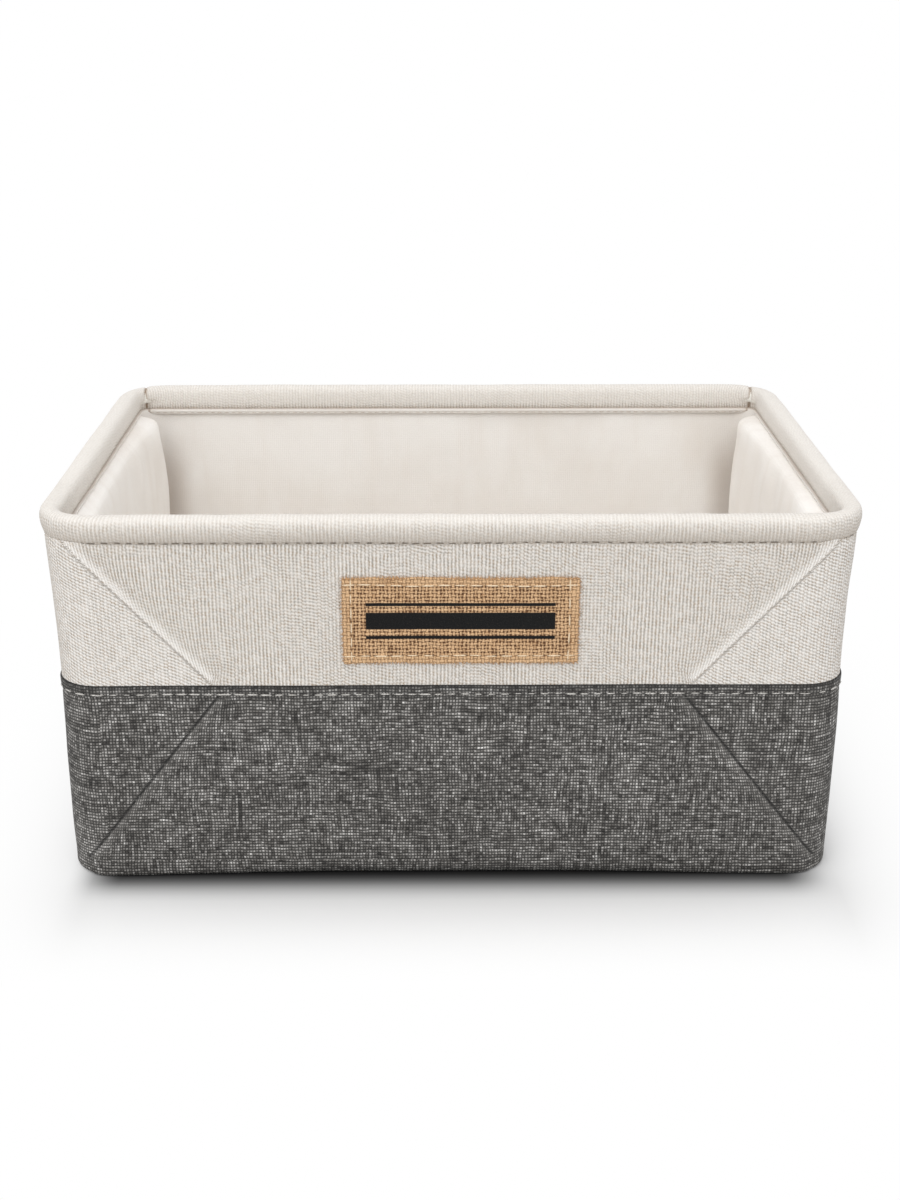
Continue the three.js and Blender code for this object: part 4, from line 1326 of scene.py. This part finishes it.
def sewHems():
    for order, (name, run, wall, sideName) in enumerate(seamRuns(0.002, 0.001, inset=0.001)):
        waver = cloud(np.stack([run, run * 0 + 0.3, run * 0], -1), 0.009, 81)
        points, outward = skinPoints(run, seamHem["stitchHeight"] + 0.00030 * waver, seamHem["stitchLift"])
        rideSeam(growThreads(f"{name}_hem_stitches", "hem", points, order, facing=outward), wall, sideName)


def sewRim():
    points, outward = bindingPoints(np.linspace(0, bindingRun, 700)[:-1], *binding["stitch"])
    piece = growThreads("rim_inner_stitches", "rimInner", points, ringed=True, facing=-outward)
    settle(piece, "lining", "rim")
    points, outward = skinPoints(np.linspace(0, skinRun, 800)[:-1], *binding["hemStitch"])
    piece = growThreads("rim_outer_stitches", "rimOuter", points, ringed=True, facing=outward)
    settle(piece, "cream_canvas", "rim")


def patchEdge(insetX, insetZ, overrun):
    # The four sides of a frame inside the patch's border: places across and up, and the outward direction
    left, right = patch["left"] + insetX, patch["right"] - insetX
    foot, top = patch["foot"] + insetZ, patch["top"] - insetZ
    ends = [((left - overrun, foot), (right + overrun, foot), (0, 0, -1)), ((right, foot), (right, top), (1, 0, 0)),
            ((right + overrun, top), (left - overrun, top), (0, 0, 1)), ((left, top), (left, foot), (-1, 0, 0))]
    for start, end, away in ends:
        share = np.linspace(0, 1, int(math.dist(start, end) / 0.0015))
        yield *[low + (high - low) * share for low, high in zip(start, end)], np.tile(away, (len(share), 1))


def sewPatch():
    for side, (x, z, _) in enumerate(patchEdge(*patch["stitchInset"], 0.0008)):
        flat = np.stack([x, np.zeros(x.shape), z], -1)
        x, z = [values + 0.0005 * cloud(flat, 0.012, seed) for values, seed in ((x, 71), (z, 72))]
        points, outward = skinPoints(x, z, patch["thickness"] + patch["swell"])
        piece = growThreads(f"patch_stitches_{side}", "patch", points, side, facing=outward)
        settle(piece, "burlap", "front_upper")
    for side, (x, z, away) in enumerate(patchEdge(0.0003, 0.0003, 0.0)):
        points, outward = skinPoints(x, z, patch["thickness"] * 0.6)
        piece = growThreads(f"patch_fray_{side}", "fray", points, side, facing=outward, away=away)
        settle(piece, "burlap", "front_upper")


sewHems()
sewRim()
sewPatch()
print("stitches sewn")


# Finishes of the carried-over nodes

for name, node in frame["nodes"].items():
    if not node.hide_render:
        node.data.materials.clear()
        node.data.materials.append(steel if "wire" in name else board)


# Camera, floor and light

view = {"place": (-0.0063, -0.853, 0.418), "tilt": 69.33, "turn": -0.43, "lens": 51.0}
light = {
    "worldStrength": 0.835, "keyPlace": (-0.28, -1.15, 1.55), "keyAim": (0, 0, 0.08), "keySize": 2.0,
    "keyPower": 15.0, "floorReach": 30.0, "footprint": (0.190, 0.118), "floorFade": (0.014, 0.100),
    # The floor's lightness by distance in front of the box, with a painted contact shadow darkest along its foot, and
    # beside the box
    "contact": [(0.006, 0.03), (0.0088, 0.07), (0.0117, 0.14), (0.0146, 0.25), (0.0174, 0.385), (0.0212, 0.545),
                (0.0258, 0.70), (0.0304, 0.79), (0.0395, 0.83), (0.0656, 0.86), (0.1, 0.88)], "beside": 0.80,
}

camera = addObject("camera", bpy.data.cameras.new("camera"))
camera.location = view["place"]
camera.rotation_euler = (math.radians(view["tilt"]), 0, math.radians(view["turn"]))
camera.data.lens, camera.data.sensor_width = view["lens"], 36
bpy.context.scene.camera = camera

floorMesh = bpy.data.meshes.new("floor")
corner = light["floorReach"]
floorMesh.from_pydata([(-corner, -corner, 0), (corner, -corner, 0), (corner, corner, 0), (-corner, corner, 0)], [],
                      [(0, 1, 2, 3)])
floor = addObject("floor", floorMesh)
bench = Bench("paleFloor")
x, y, _ = bench.axes(bench.own())
far = (y.size() - light["footprint"][1]).most(0.0)
beside = x.size() - light["footprint"][0] + 0.012 * bench.fade(x, -0.1, 0.1) + 0.004
sideShare = 1.0 - (beside.most(0.0) * -60.0).maths("EXPONENT")
nearSide = bench.smooth(x.size(), 0.160, 0.188)
# A contact shadow painted into the floor's colour in front of the box
stops = {"stops": [(place * 10, (value, value, value, 1.0)) for place, value in light["contact"]]}
shaded = bench.add("ShaderNodeValToRGB", stops, {0: far * 10.0})
bench.finish(bench.mix(nearSide, shaded, [*[light["beside"]] * 3, 1.0]), Roughness=1.0, Specular_IOR_Level=0.0)
share = 1.0 - bench.fade(far, *light["floorFade"]) * (1.0 - sideShare * nearSide)
glow = bench.add("ShaderNodeEmission", {}, {"Color": (1, 1, 1, 1), "Strength": 1.0})
lit = Wire(bench, bench.shader.outputs[0])
blend = bench.add("ShaderNodeMixShader", {}, {0: share * bench.straight(), 1: lit, 2: glow})
bench.link(blend, bench.tree.nodes["Material Output"].inputs["Surface"])
floorMesh.materials.append(bench.material)

world = bpy.data.worlds.new("studio")
bpy.context.scene.world = world
world.use_nodes = True
bench = Bench("studio", world.node_tree)
strength = bench.add("ShaderNodeMapRange", {},
                     {"Value": bench.straight(), "To Min": light["worldStrength"], "To Max": 1.0})
background = world.node_tree.nodes["Background"].inputs
background["Color"].default_value = (1, 1, 1, 1)
bench.link(strength, background["Strength"])

key = addObject("softKey", bpy.data.lights.new("softKey", "AREA"))
key.data.shape, key.data.size, key.data.energy = "DISK", light["keySize"], light["keyPower"]
key.location = light["keyPlace"]
aim = np.array(light["keyAim"]) - light["keyPlace"]
key.rotation_euler = Vector(aim).to_track_quat("-Z", "Y").to_euler()

bpy.context.scene.view_settings.view_transform = "Standard"
print("stage set")
